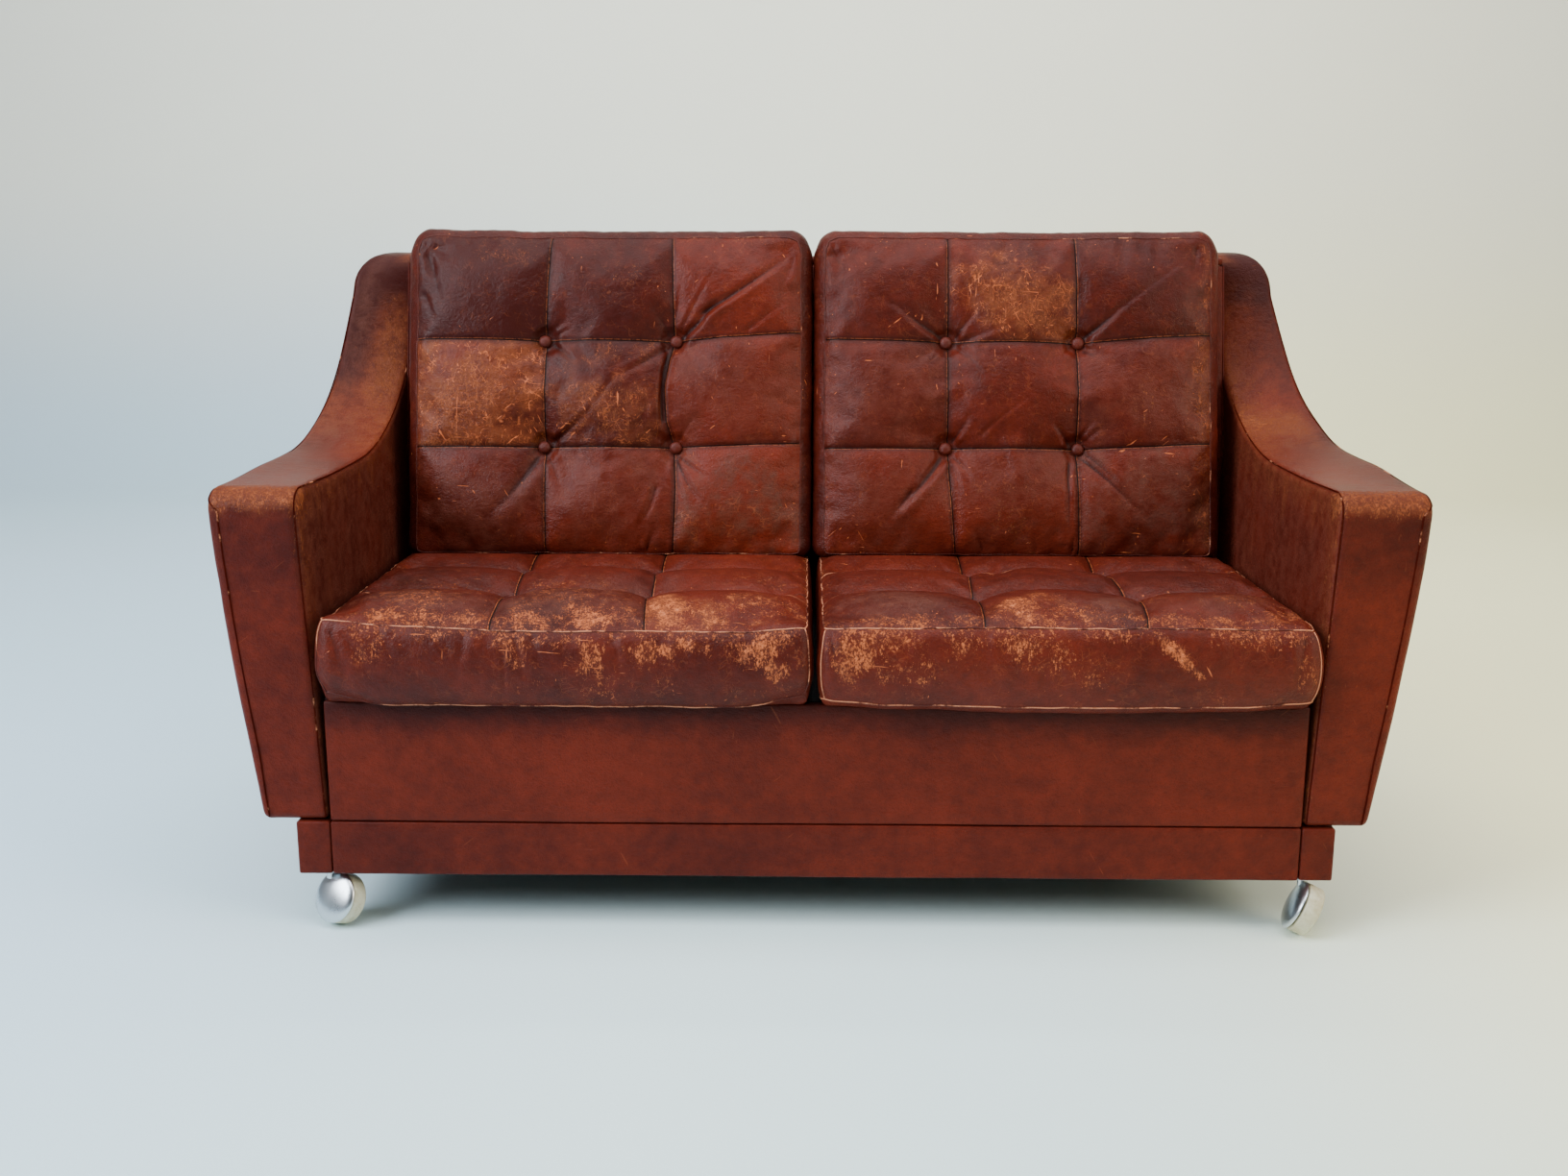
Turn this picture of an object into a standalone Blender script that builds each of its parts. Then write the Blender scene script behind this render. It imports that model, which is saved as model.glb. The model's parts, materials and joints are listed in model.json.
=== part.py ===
"""Two-seat leather sofa with deep-buttoned loose cushions, on four hooded castors.

Metres, +Z up, +X to the sitter's left as seen from in front, the front facing -Y.
The origin is on the floor, under the middle of the sofa.
"""

import math

import bmesh
import bpy
from mathutils import Matrix, Vector

# Overall size
WIDTH = 1.48
DEPTH = 0.77
GAP = 0.0003  # clearance between pieces that touch

# Planes, front to back
CUSHION_NOSE = 0.035  # how far the seat cushions swell out past the front panel
FRONT_Y = -DEPTH / 2 + CUSHION_NOSE
BACK_Y = DEPTH / 2

# Heights
PLINTH_BOTTOM = 0.072
ARM_BOTTOM = 0.143
DECK_TOP = 0.302
SEAT_SEAM = 0.406
ARM_TOP = 0.569
BACK_TOP = 0.841

# Base
PANEL_HALF = 0.6145
PLINTH_OUTER = 0.658
PLINTH_INNER = PANEL_HALF + 2 * GAP
PLINTH_THICK = 0.018
PANEL_THICK = 0.012
RAIL_THICK = 0.032
DECK_THICK = 0.016
DUST_COVER_THICK = 0.003
BEARER_WIDE = 0.045

# Arms: half widths from the middle of the sofa at the bottom and at the top
ARM_INNER_LOW = 0.6155
ARM_INNER_HIGH = 0.6320
ARM_OUTER_LOW = 0.6915
ARM_OUTER_HIGH = WIDTH / 2
ARM_OUTER_BACK = 0.722
ARM_NOSE_RADIUS = 0.030
SWEEP_START = 0.33  # behind the front plane, where the arm's top begins to rise
ARM_CREST_Y = 0.70  # and where it reaches the height of the back
SWEEP_TWIST = 0.05  # the inner edge rises this much further back than the outer one
ARM_WIDEST = 0.555  # the height where the arms stop leaning outwards
ARM_LEVELS = (0.20, 0.27, 0.34, 0.42, 0.50, ARM_WIDEST, 0.62, 0.70, 0.796, 0.8185, 0.835)  # their bends
CORE_X = (0.634, 0.674)
CORE_INSET = 0.030

# Back
LEAN = math.radians(12.75)
BACK_CUSHION_LINE = (0.0624, 0.4105)  # lower front seam of the back cushions, as (y, z)
OUTSIDE_BACK_THICK = 0.010
BACK_INSET = 0.002  # the outside back stands in this far from the arms' outer sides
LINING_THICK = 0.020
BOARD_THICK = 0.010
TOP_RAIL = 0.045
TOP_COVER_THICK = 0.012
BACK_CORNER = 0.045  # radius of the two upper corners, seen from in front

# Cushions, as width between side seams, length between end seams, and thickness at the seams
SEAT_CUSHION = (0.598, 0.5145, SEAT_SEAM - DECK_TOP)
BACK_CUSHION = (0.586, 0.472, 0.105)
# Middles of the cushions; the back pair has crept a little to one side
SEAT_CUSHION_X = {"left": -0.308, "right": 0.308}
BACK_CUSHION_X = {"left": -0.306, "right": 0.300}
# How far the buttons of a back cushion sit off its middle
BACK_TUFT_SHIFT = {"left": 0.003, "right": -0.009}
SEAM_OVERHANG = 0.020  # how far the seat cushions' front seams stand before the front panel
CORNER_CUT = 0.010

# Tufting
BUTTON_RADIUS = 0.0098
BUTTON_HIGH = 0.0065
BUTTON_SEAT = 0.0125  # half side of the flat spot that each button sits on
VALLEY_DEPTH = 0.008
VALLEY_WIDTH = 0.030
DIMPLE_DEPTH = 0.014
DIMPLE_RADIUS = 0.045

# Castors
STEM_X = 0.6235
STEM_INSET = 0.018  # of the front castors, from the front plane of the base
REAR_STEM_INSET = 0.023  # of the rear castors, from its back plane
STEM_RADIUS = 0.004
STEM_FOOT = 0.060
STEM_TOP = PLINTH_BOTTOM + 0.026
TILT = math.radians(25)
TRAIL = 0.013
STEM_TO_HOOD = 0.006
WHEEL_RADIUS = 0.0325
WHEEL_HALF = 0.011
TREAD_ROUND = 0.004
HUB_RADIUS = 0.0235
AXLE_RADIUS = 0.003
HOOD_RADIUS = 0.033
HOOD_RIM = 0.0118
HOOD_POLE = 0.022
HOOD_WALL = 0.0015
SLEEVE_RADIUS = 0.0062
FLANGE_RADIUS = 0.0115
FLANGE_THICK = 0.0015
# Headings of the hoods, in degrees from +X, as the castors were left standing
CASTORS = (
    ("front_left", -1, -1, -122),
    ("front_right", 1, -1, 170),
    ("rear_left", -1, 1, -160),
    ("rear_right", 1, 1, 160),
)


# ---------------------------------------------------------------- scene and materials


def clear_scene():
    for obj in list(bpy.data.objects):
        bpy.data.objects.remove(obj, do_unlink=True)


def new_collection(name):
    made = bpy.data.collections.new(name)
    bpy.context.scene.collection.children.link(made)
    return made


def material(name, colour, roughness, metallic=0.0):
    made = bpy.data.materials.new(name)
    made.use_nodes = True
    shader = made.node_tree.nodes["Principled BSDF"]
    shader.inputs["Base Color"].default_value = (*colour, 1.0)
    shader.inputs["Roughness"].default_value = roughness
    shader.inputs["Metallic"].default_value = metallic
    return made


def add(name, mesh, finish, home):
    obj = bpy.data.objects.new(name, mesh)
    mesh.materials.append(finish)
    home.objects.link(obj)
    return obj


def from_bmesh(name, made, finish, home, smooth_below=35):
    bmesh.ops.recalc_face_normals(made, faces=made.faces)
    mesh = bpy.data.meshes.new(name)
    made.to_mesh(mesh)
    made.free()
    mesh.shade_smooth()
    mesh.set_sharp_from_angle(angle=math.radians(smooth_below))
    return add(name, mesh, finish, home)


def bevel(obj, width, segments=2, angle=40):
    edges = obj.modifiers.new("Rounded edges", "BEVEL")
    edges.width = width
    edges.segments = segments
    edges.limit_method = "ANGLE"
    edges.angle_limit = math.radians(angle)


# ---------------------------------------------------------------- basic shapes


def box(name, low, high, finish, home, round_by=0.0):
    made = bmesh.new()
    bmesh.ops.create_cube(made, size=1)
    low, high = Vector(low), Vector(high)
    for vert in made.verts:
        vert.co = Vector(low[i] + (vert.co[i] + 0.5) * (high[i] - low[i]) for i in range(3))
    obj = from_bmesh(name, made, finish, home)
    if round_by:
        bevel(obj, round_by)
    return obj


def side_plate(name, outline, x_low, x_high, finish, home):
    """A plate whose outline is drawn in the side view, as (y, z) pairs."""
    made = bmesh.new()
    ring = [made.verts.new((x_low, y, z)) for y, z in outline]
    face = made.faces.new(ring)
    moved = bmesh.ops.extrude_face_region(made, geom=[face])["geom"]
    for vert in moved:
        if isinstance(vert, bmesh.types.BMVert):
            vert.co.x = x_high
    return from_bmesh(name, made, finish, home)


def turned(name, profile, steps, finish, home, place):
    """A turned piece: (radius, height) pairs up its outer side, spun about its own z axis."""
    made = bmesh.new()
    chain = [made.verts.new((r, 0, z)) for r, z in profile]
    edges = [made.edges.new(pair) for pair in zip(chain, chain[1:])]
    if profile[0][0] > 0:
        edges.append(made.edges.new((chain[-1], chain[0])))
    bmesh.ops.spin(
        made, geom=chain + edges, cent=(0, 0, 0), axis=(0, 0, 1),
        angle=math.tau, steps=steps, use_merge=True,
    )
    bmesh.ops.remove_doubles(made, verts=made.verts, dist=1e-5)
    obj = from_bmesh(name, made, finish, home, smooth_below=50)
    obj.matrix_world = place
    return obj


def cut(obj, cutter):
    cutter.hide_render = True
    cutter.display_type = "WIRE"
    hole = obj.modifiers.new("Cut", "BOOLEAN")
    hole.operation = "DIFFERENCE"
    hole.object = cutter


def offset_outline(points, distance):
    """The closed outline moved outwards by a distance; it runs clockwise in the (y, z) view."""
    moved = []
    for before, here, after in zip(points[-1:] + points, points, points[1:] + points[:1]):
        first = (Vector(here) - Vector(before)).normalized()
        second = (Vector(after) - Vector(here)).normalized()
        out = Vector((-first.y - second.y, first.x + second.x))
        moved.append(tuple(Vector(here) + out * (2 * distance / out.length_squared)))
    return moved


def bezier(start, first, second, end, count):
    """Points on a cubic curve after its start, up to and with its end."""
    points = []
    for i in range(1, count + 1):
        t = i / count
        s = 1 - t
        points.append(tuple(
            s**3 * a + 3 * s * s * t * b + 3 * s * t * t * c + t**3 * d
            for a, b, c, d in zip(start, first, second, end)
        ))
    return points


# ---------------------------------------------------------------- arms


def arm_side_outline():
    """An arm's side view, clockwise from its lower front corner, y measured from the front plane."""
    nose = [
        (ARM_NOSE_RADIUS * (1 - math.cos(a)), ARM_TOP - ARM_NOSE_RADIUS * (1 - math.sin(a)))
        for a in (i * math.pi / 10 for i in range(6))
    ]
    start = (SWEEP_START, ARM_TOP)
    sweep = bezier(start, (0.505, 0.585), (0.565, 0.700), (0.628, 0.800), 9)
    crest = bezier(sweep[-1], (0.645, 0.828), (0.660, BACK_TOP), (ARM_CREST_Y, BACK_TOP), 4)
    rear = DEPTH - CUSHION_NOSE - OUTSIDE_BACK_THICK - GAP
    return [(0.0, ARM_BOTTOM), *nose, (0.17, ARM_TOP - 0.003), start, *sweep, *crest,
            (rear, BACK_TOP), (rear, ARM_BOTTOM)]


def arm_half_widths(z):
    """Inner and outer half widths of an arm at a height: it leans outwards and swells a little."""
    t = min(1.0, (z - ARM_BOTTOM) / (ARM_WIDEST - ARM_BOTTOM))
    inner = ARM_INNER_LOW + (ARM_INNER_HIGH - ARM_INNER_LOW) * t
    outer = ARM_OUTER_LOW + (ARM_OUTER_HIGH - ARM_OUTER_LOW) * (1 - (1 - t) ** 1.8)
    if z > ARM_WIDEST:
        up = (z - ARM_WIDEST) / (BACK_TOP - ARM_WIDEST)
        outer -= (ARM_OUTER_HIGH - ARM_OUTER_BACK) * up
    over = max(0, (z - BACK_TOP) / BACK_CORNER + 1)
    outer -= BACK_CORNER * (1 - math.sqrt(max(0, 1 - over * over)))
    return inner, outer


def arm_cover(name, side, finish, home, cutters):
    made = bmesh.new()
    ring = [made.verts.new((0, y, z)) for y, z in arm_side_outline()]
    face = made.faces.new(ring)
    moved = bmesh.ops.extrude_face_region(made, geom=[face])["geom"]
    for vert in moved:
        if isinstance(vert, bmesh.types.BMVert):
            vert.co.x = 1
    for height in ARM_LEVELS:
        bmesh.ops.bisect_plane(
            made, geom=made.verts[:] + made.edges[:] + made.faces[:],
            plane_co=(0, 0, height), plane_no=(0, 0, 1),
        )
    for vert in made.verts:
        across, y, z = vert.co
        inner, outer = arm_half_widths(z)
        up = max(0, (z - ARM_TOP) / (BACK_TOP - ARM_TOP))
        if y < ARM_CREST_Y:
            y += SWEEP_TWIST * 4 * up * (1 - up) * (1 - across)
        vert.co = (side * (inner + (outer - inner) * across), FRONT_Y + y, z)
    obj = from_bmesh(name, made, finish, home)
    bevel(obj, 0.012, segments=2, angle=55)
    grown = offset_outline(arm_core_outline(), GAP)
    grown[0] = (grown[0][0], ARM_BOTTOM - 0.02)
    grown[-1] = (grown[-1][0], ARM_BOTTOM - 0.02)
    low, high = sorted(side * x for x in (CORE_X[0] - GAP, CORE_X[1] + GAP))
    outline = [(FRONT_Y + y, z) for y, z in grown]
    cut(obj, side_plate(name + "_slot", outline, low, high, finish, cutters))
    return obj


def arm_core_outline():
    """The timber side inside an arm, clockwise from its lower front corner."""
    rear = DEPTH - CUSHION_NOSE - OUTSIDE_BACK_THICK - 0.015
    return [
        (CORE_INSET, ARM_BOTTOM),
        (CORE_INSET, ARM_TOP - CORE_INSET),
        (0.47, ARM_TOP - CORE_INSET),
        (0.645, 0.700),
        (0.685, BACK_TOP - CORE_INSET),
        (rear, BACK_TOP - CORE_INSET),
        (rear, ARM_BOTTOM),
    ]


def build_arms(finish, timber, home, cutters):
    for side, word in ((-1, "left"), (1, "right")):
        arm_cover("arm_cover_" + word, side, finish, home, cutters)
        low, high = sorted(side * x for x in CORE_X)
        outline = [(FRONT_Y + y, z) for y, z in arm_core_outline()]
        side_plate("arm_frame_" + word, outline, low, high, timber, home)


# ---------------------------------------------------------------- base


def build_base(leather, timber, cloth, home, cutters):
    rear_y = lining_y(DECK_TOP)
    rail_y = (FRONT_Y + PANEL_THICK + GAP, FRONT_Y + PANEL_THICK + GAP + RAIL_THICK)
    rail_low = ARM_BOTTOM + GAP
    rail_high = DECK_TOP - DECK_THICK - GAP
    span = PANEL_HALF
    box("front_panel", (-span, FRONT_Y, ARM_BOTTOM + GAP), (span, FRONT_Y + PANEL_THICK, DECK_TOP),
        leather, home, 0.003)
    box("front_rail", (-span, rail_y[0], rail_low), (span, rail_y[1], rail_high), timber, home)
    box("rear_rail", (-span, rear_y + 0.002, rail_low), (span, rear_y + 0.002 + RAIL_THICK, rail_high),
        timber, home)
    box("seat_bearer", (-BEARER_WIDE / 2, rail_y[1] + GAP, rail_high - 0.07),
        (BEARER_WIDE / 2, rear_y + 0.002 - GAP, rail_high), timber, home)
    box("seat_deck", (-span, rail_y[0], rail_high + GAP), (span, rear_y - GAP, DECK_TOP), cloth, home)

    top = ARM_BOTTOM - GAP
    box("plinth_front", (-span, FRONT_Y, PLINTH_BOTTOM), (span, FRONT_Y + PLINTH_THICK, top),
        leather, home, 0.003)
    box("plinth_rear", (-span, BACK_Y - PLINTH_THICK, PLINTH_BOTTOM), (span, BACK_Y, top),
        leather, home, 0.003)
    box("dust_cover",
        (-span, FRONT_Y + PLINTH_THICK + GAP, top - DUST_COVER_THICK),
        (span, BACK_Y - PLINTH_THICK - GAP, top), cloth, home)
    for side, word in ((-1, "left"), (1, "right")):
        low, high = sorted((side * PLINTH_INNER, side * PLINTH_OUTER))
        rail = box("plinth_" + word, (low, FRONT_Y, PLINTH_BOTTOM), (high, BACK_Y, top), leather, home, 0.003)
        for end in (-1, 1):
            place = Matrix.Translation((side * STEM_X, stem_y(end), PLINTH_BOTTOM))
            bore = [(0, -0.01), (SLEEVE_RADIUS + GAP, -0.01),
                    (SLEEVE_RADIUS + GAP, STEM_TOP - PLINTH_BOTTOM + 0.004), (0, STEM_TOP - PLINTH_BOTTOM + 0.004)]
            cut(rail, turned(f"bore_{word}_{end}", bore, 12, timber, cutters, place))


# ---------------------------------------------------------------- back


def lining_y(z):
    """Where the leaning front of the back lining stands at a height."""
    cushion_y, cushion_z = BACK_CUSHION_LINE
    rear_y = cushion_y + BACK_CUSHION[2] * math.cos(LEAN)
    rear_z = cushion_z - BACK_CUSHION[2] * math.sin(LEAN)
    return rear_y + GAP + (z - rear_z) * math.tan(LEAN)


def leaning_board(name, behind, thick, z_low, z_high, finish, home):
    """A board parallel to the lining, a distance behind its front, cut to fit between the arms."""
    step = 1 / math.cos(LEAN)
    corners = [(lining_y(z) + d * step, z) for z, d in
               ((z_low, behind), (z_high, behind), (z_high, behind + thick), (z_low, behind + thick))]
    board = side_plate(name, corners, -1, 1, finish, home)
    made = bmesh.new()
    made.from_mesh(board.data)
    bmesh.ops.bisect_plane(
        made, geom=made.verts[:] + made.edges[:] + made.faces[:],
        plane_co=(0, 0, ARM_WIDEST), plane_no=(0, 0, 1),
    )
    for vert in made.verts:
        vert.co.x *= arm_half_widths(vert.co.z)[0] - GAP
    made.to_mesh(board.data)
    made.free()


def build_back(leather, timber, home):
    half = ARM_INNER_HIGH - GAP
    rail_low = BACK_TOP - TOP_RAIL
    top_low_skin = BACK_TOP - TOP_COVER_THICK
    leaning_board("back_lining", 0, LINING_THICK, DECK_TOP + GAP, top_low_skin - GAP, leather, home)
    board = LINING_THICK + GAP
    leaning_board("back_board", board, BOARD_THICK, DECK_TOP + GAP, rail_low - GAP, timber, home)
    rear = BACK_Y - OUTSIDE_BACK_THICK - GAP
    rail_front = lining_y(BACK_TOP) + (LINING_THICK + GAP) / math.cos(LEAN)
    box("back_top_rail", (-half, rail_front, rail_low), (half, rear, top_low_skin - GAP), timber, home)
    box("back_top_cover", (-half, lining_y(BACK_TOP), top_low_skin), (half, rear, BACK_TOP),
        leather, home, 0.005)
    outside_back(leather, home)


def outside_back(leather, home):
    """The flat panel that closes the back, as wide as the arms are at each height."""
    right = [(arm_half_widths(z)[1] - BACK_INSET, z) for z in (ARM_BOTTOM, *ARM_LEVELS, BACK_TOP)]
    made = bmesh.new()
    ring = [made.verts.new((x, BACK_Y, z)) for x, z in right]
    ring += [made.verts.new((-x, BACK_Y, z)) for x, z in reversed(right)]
    face = made.faces.new(ring)
    for vert in bmesh.ops.extrude_face_region(made, geom=[face])["geom"]:
        if isinstance(vert, bmesh.types.BMVert):
            vert.co.y = BACK_Y - OUTSIDE_BACK_THICK
    from_bmesh("outside_back", made, leather, home)


# ---------------------------------------------------------------- cushions


def grid_lines(length):
    """Cross lines of a tufted skin, closer at the edges and about the two rows of buttons."""
    third = length / 6
    half = [0.0, third - BUTTON_SEAT, third, third + BUTTON_SEAT, 2 * third, 3 * third - 0.028, 3 * third]
    return [-x for x in reversed(half[1:])] + half


def tufting(x, y, width, length):
    """How far the seams and buttons pull the skin down at a place on a cushion."""
    button = (width / 6, length / 6)
    off = [abs(abs(value) - at) for value, at in zip((x, y), button)]
    edge = min(1, (width / 2 - abs(x)) / 0.05) * min(1, (length / 2 - abs(y)) / 0.05)
    valley = max(math.exp(-((d / VALLEY_WIDTH) ** 2)) for d in off) * max(0, edge)
    flat = [max(0, d - BUTTON_SEAT * 0.99) for d in off]
    dimple = math.exp(-(flat[0] ** 2 + flat[1] ** 2) / DIMPLE_RADIUS**2)
    if max(off) < BUTTON_SEAT * 1.01:
        valley = 1.0
    return VALLEY_DEPTH * valley + DIMPLE_DEPTH * dimple


def crown(x, y, width, length):
    return (1 - abs(2 * x / width) ** 3) * (1 - abs(2 * y / length) ** 3)


def tuft_shifted(x, width, shift):
    """Moves a place across a cushion with its buttons, less and less towards the side seams."""
    return x + shift * (1 - abs(2 * x / width) ** 3)


def cushion(name, size, skin, swell, shift, place, finish, home):
    """A tufted cushion on a flat base. skin gives its height at a place, swell how far each side
    (left, right, front or lower end, back or upper end) stands out between its seams, and shift
    how far its buttons sit off the middle."""
    width, length, thick = size
    made = bmesh.new()
    columns, rows = grid_lines(width), grid_lines(length)
    across, along = len(columns) - 1, len(rows) - 1
    bmesh.ops.create_grid(made, x_segments=across, y_segments=along, size=0.5)
    for vert in made.verts:
        x = columns[round((vert.co.x + 0.5) * across)]
        y = rows[round((vert.co.y + 0.5) * along)]
        z = skin(x, y)
        x = tuft_shifted(x, width, shift)
        if abs(x) == width / 2 and abs(y) == length / 2:
            x -= math.copysign(CORNER_CUT, x)
            y -= math.copysign(CORNER_CUT, y)
        vert.co = (x, y, z)
    rim = [vert.co.copy() for vert in made.verts if vert.is_boundary]
    edges = [edge for edge in made.edges if edge.is_boundary]
    for level in (0.78, 0.5, 0.22, 0.0):
        out = math.sin(math.pi * level) ** 0.6 if level else 0
        ring = bmesh.ops.extrude_edge_only(made, edges=edges)["geom"]
        edges = [item for item in ring if isinstance(item, bmesh.types.BMEdge)]
        for vert in (item for item in ring if isinstance(item, bmesh.types.BMVert)):
            top = min(rim, key=lambda point: (point.xy - vert.co.xy).length)
            x, y = top.x, top.y
            ends = (x < -width / 2 + CORNER_CUT * 1.1, x > width / 2 - CORNER_CUT * 1.1)
            sides = (y < -length / 2 + CORNER_CUT * 1.1, y > length / 2 - CORNER_CUT * 1.1)
            x += out * (swell[1] * ends[1] - swell[0] * ends[0])
            y += out * (swell[3] * sides[1] - swell[2] * sides[0])
            vert.co = (x, y, top.z * level)
    bmesh.ops.contextual_create(made, geom=edges)
    bmesh.ops.transform(made, matrix=place, verts=made.verts)
    return from_bmesh(name, made, finish, home, smooth_below=60)


def seat_place(word):
    centre_y = FRONT_Y - SEAM_OVERHANG + SEAT_CUSHION[1] / 2
    return Matrix.Translation((SEAT_CUSHION_X[word], centre_y, DECK_TOP + GAP))


def seat_skin(x, y):
    """Height of a seat cushion's top: it falls to the back, where the back cushion presses on it."""
    width, length, thick = SEAT_CUSHION
    t = y / length + 0.5
    swelling = (0.016 - 0.008 * t) * crown(x, y, width, length) ** 0.5
    height = thick - 0.006 * t + swelling
    place = seat_place("left").translation
    pressed = BACK_CUSHION_LINE[1] - (place.y + y - BACK_CUSHION_LINE[0]) * math.tan(LEAN)
    roof = pressed - place.z - 2 * GAP
    return min(height - tufting(x, y, width, length), roof)


def back_place(word):
    up = Vector((0, math.sin(LEAN), math.cos(LEAN)))
    out = Vector((0, -math.cos(LEAN), math.sin(LEAN)))
    turn = Matrix((Vector((1, 0, 0)), up, out)).transposed().to_4x4()
    y, z = BACK_CUSHION_LINE
    lower_front = Vector((BACK_CUSHION_X[word], y, z))
    centre = lower_front + up * BACK_CUSHION[1] / 2 - out * BACK_CUSHION[2]
    return Matrix.Translation(centre) @ turn


def back_skin(x, y):
    width, length, thick = BACK_CUSHION
    return thick + 0.022 * crown(x, y, width, length) ** 0.6 - tufting(x, y, width, length)


def build_buttons(prefix, size, skin, shift, place, finish, home):
    profile = [(0, 0), (BUTTON_RADIUS * 0.9, 0), (BUTTON_RADIUS, 0.002), (BUTTON_RADIUS * 0.75, 0.0052),
               (0, BUTTON_HIGH)]
    for row, along in (("lower", -1), ("upper", 1)):
        for column, across in (("inner", -1), ("outer", 1)):
            x, y = across * size[0] / 6, along * size[1] / 6
            across_shifted = tuft_shifted(x, size[0], shift)
            seat = place @ Matrix.Translation((across_shifted, y, skin(x, y) + GAP))
            turned(f"{prefix}_{row}_{column}", profile, 10, finish, home, seat)


def build_cushions(leather, home):
    for word in ("left", "right"):
        cushion("seat_cushion_" + word, SEAT_CUSHION, seat_skin, (0.006, 0.006, 0.015, 0), 0,
                seat_place(word), leather, home)
        build_buttons("seat_button_" + word, SEAT_CUSHION, seat_skin, 0, seat_place(word), leather, home)
        shift = BACK_TUFT_SHIFT[word]
        cushion("back_cushion_" + word, BACK_CUSHION, back_skin, (0.009, 0.009, 0, 0.018), shift,
                back_place(word), leather, home)
        build_buttons("back_button_" + word, BACK_CUSHION, back_skin, shift, back_place(word), leather, home)


# ---------------------------------------------------------------- castors


def stem_y(end):
    return FRONT_Y + STEM_INSET if end < 0 else BACK_Y - REAR_STEM_INSET


def castor_frame(side, end, heading):
    """The wheel's frame: z along the axle towards the hood, x down the wheel, its origin at the wheel."""
    h = Vector((math.cos(math.radians(heading)), math.sin(math.radians(heading)), 0))
    trail = Vector((-h.y, h.x, 0))
    axle = h * math.cos(TILT) + Vector((0, 0, math.sin(TILT)))
    down = h * math.sin(TILT) - Vector((0, 0, math.cos(TILT)))
    turn = Matrix((down, axle.cross(down), axle)).transposed().to_4x4()
    low = (WHEEL_RADIUS - TREAD_ROUND) * math.cos(TILT) + (WHEEL_HALF - TREAD_ROUND) * math.sin(TILT)
    stem = Vector((side * STEM_X, stem_y(end), 0))
    centre = stem - h * STEM_TO_HOOD + trail * TRAIL + Vector((0, 0, low + TREAD_ROUND))
    return Matrix.Translation(centre) @ turn


def arc(centre, radius, degrees):
    """Points on an arc in (radius, height), at angles from outwards."""
    angles = [math.radians(d) for d in degrees]
    return [(centre[0] + radius * math.cos(a), centre[1] + radius * math.sin(a)) for a in angles]


def dome(radius, pole, degrees):
    """Points on a hood's dome from its rim, at 0 degrees, to its pole, at 90."""
    return [(0.0 if d == 90 else radius * math.cos(math.radians(d)),
             HOOD_RIM + (pole - HOOD_RIM) * math.sin(math.radians(d))) for d in degrees]


def castor(word, side, end, heading, finishes, home, cutters):
    chrome, nylon, steel = finishes
    place = castor_frame(side, end, heading)
    corner = WHEEL_RADIUS - TREAD_ROUND
    edge = WHEEL_HALF - TREAD_ROUND
    tread = [(HUB_RADIUS + GAP, -WHEEL_HALF + 0.001)]
    tilt = math.degrees(TILT)
    tread += arc((corner, -edge), TREAD_ROUND, (-90, -tilt, 0)) + arc((corner, edge), TREAD_ROUND, (0, 45, 90))
    tread.append((HUB_RADIUS + GAP, WHEEL_HALF - 0.001))
    turned("castor_tyre_" + word, tread, 20, nylon, home, place)
    hub = [(AXLE_RADIUS + GAP, -WHEEL_HALF + 0.002), (HUB_RADIUS, -WHEEL_HALF + 0.002),
           (HUB_RADIUS, WHEEL_HALF - 0.002), (AXLE_RADIUS + GAP, WHEEL_HALF - 0.002)]
    turned("castor_wheel_" + word, hub, 16, nylon, home, place)
    head = -WHEEL_HALF + 0.002 - GAP
    pin = [(0, head - 0.0015), (AXLE_RADIUS + 0.002, head - 0.0015), (AXLE_RADIUS + 0.002, head),
           (AXLE_RADIUS, head), (AXLE_RADIUS, HOOD_POLE - HOOD_WALL - 0.0012),
           (0, HOOD_POLE - HOOD_WALL - GAP)]
    turned("castor_axle_" + word, pin, 10, steel, home, place)

    shell = dome(HOOD_RADIUS, HOOD_POLE, (90, 68, 45, 22, 0))
    shell += dome(HOOD_RADIUS - HOOD_WALL, HOOD_POLE - HOOD_WALL, (0, 30, 60, 90))
    hood = turned("castor_hood_" + word, shell, 20, chrome, home, place)
    stem_place = Matrix.Translation((side * STEM_X, stem_y(end), 0))
    collar = STEM_RADIUS + 0.0005
    shank = [(0, STEM_FOOT), (collar, STEM_FOOT), (collar, PLINTH_BOTTOM - 0.003),
             (STEM_RADIUS, PLINTH_BOTTOM - 0.003), (STEM_RADIUS, STEM_TOP), (0, STEM_TOP)]
    stem = turned("stem_" + word, shank, 12, chrome, cutters, stem_place)
    stem.hide_render = True
    stem.display_type = "WIRE"
    weld = hood.modifiers.new("Stem", "BOOLEAN")
    weld.operation = "UNION"
    weld.object = stem

    bottom, top = PLINTH_BOTTOM - GAP, STEM_TOP + 0.002
    bore = STEM_RADIUS + GAP
    sleeve = [(bore, bottom - FLANGE_THICK), (FLANGE_RADIUS, bottom - FLANGE_THICK), (FLANGE_RADIUS, bottom),
              (SLEEVE_RADIUS, bottom), (SLEEVE_RADIUS, top), (bore, top)]
    turned("castor_socket_" + word, sleeve, 12, steel, home, stem_place)


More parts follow.
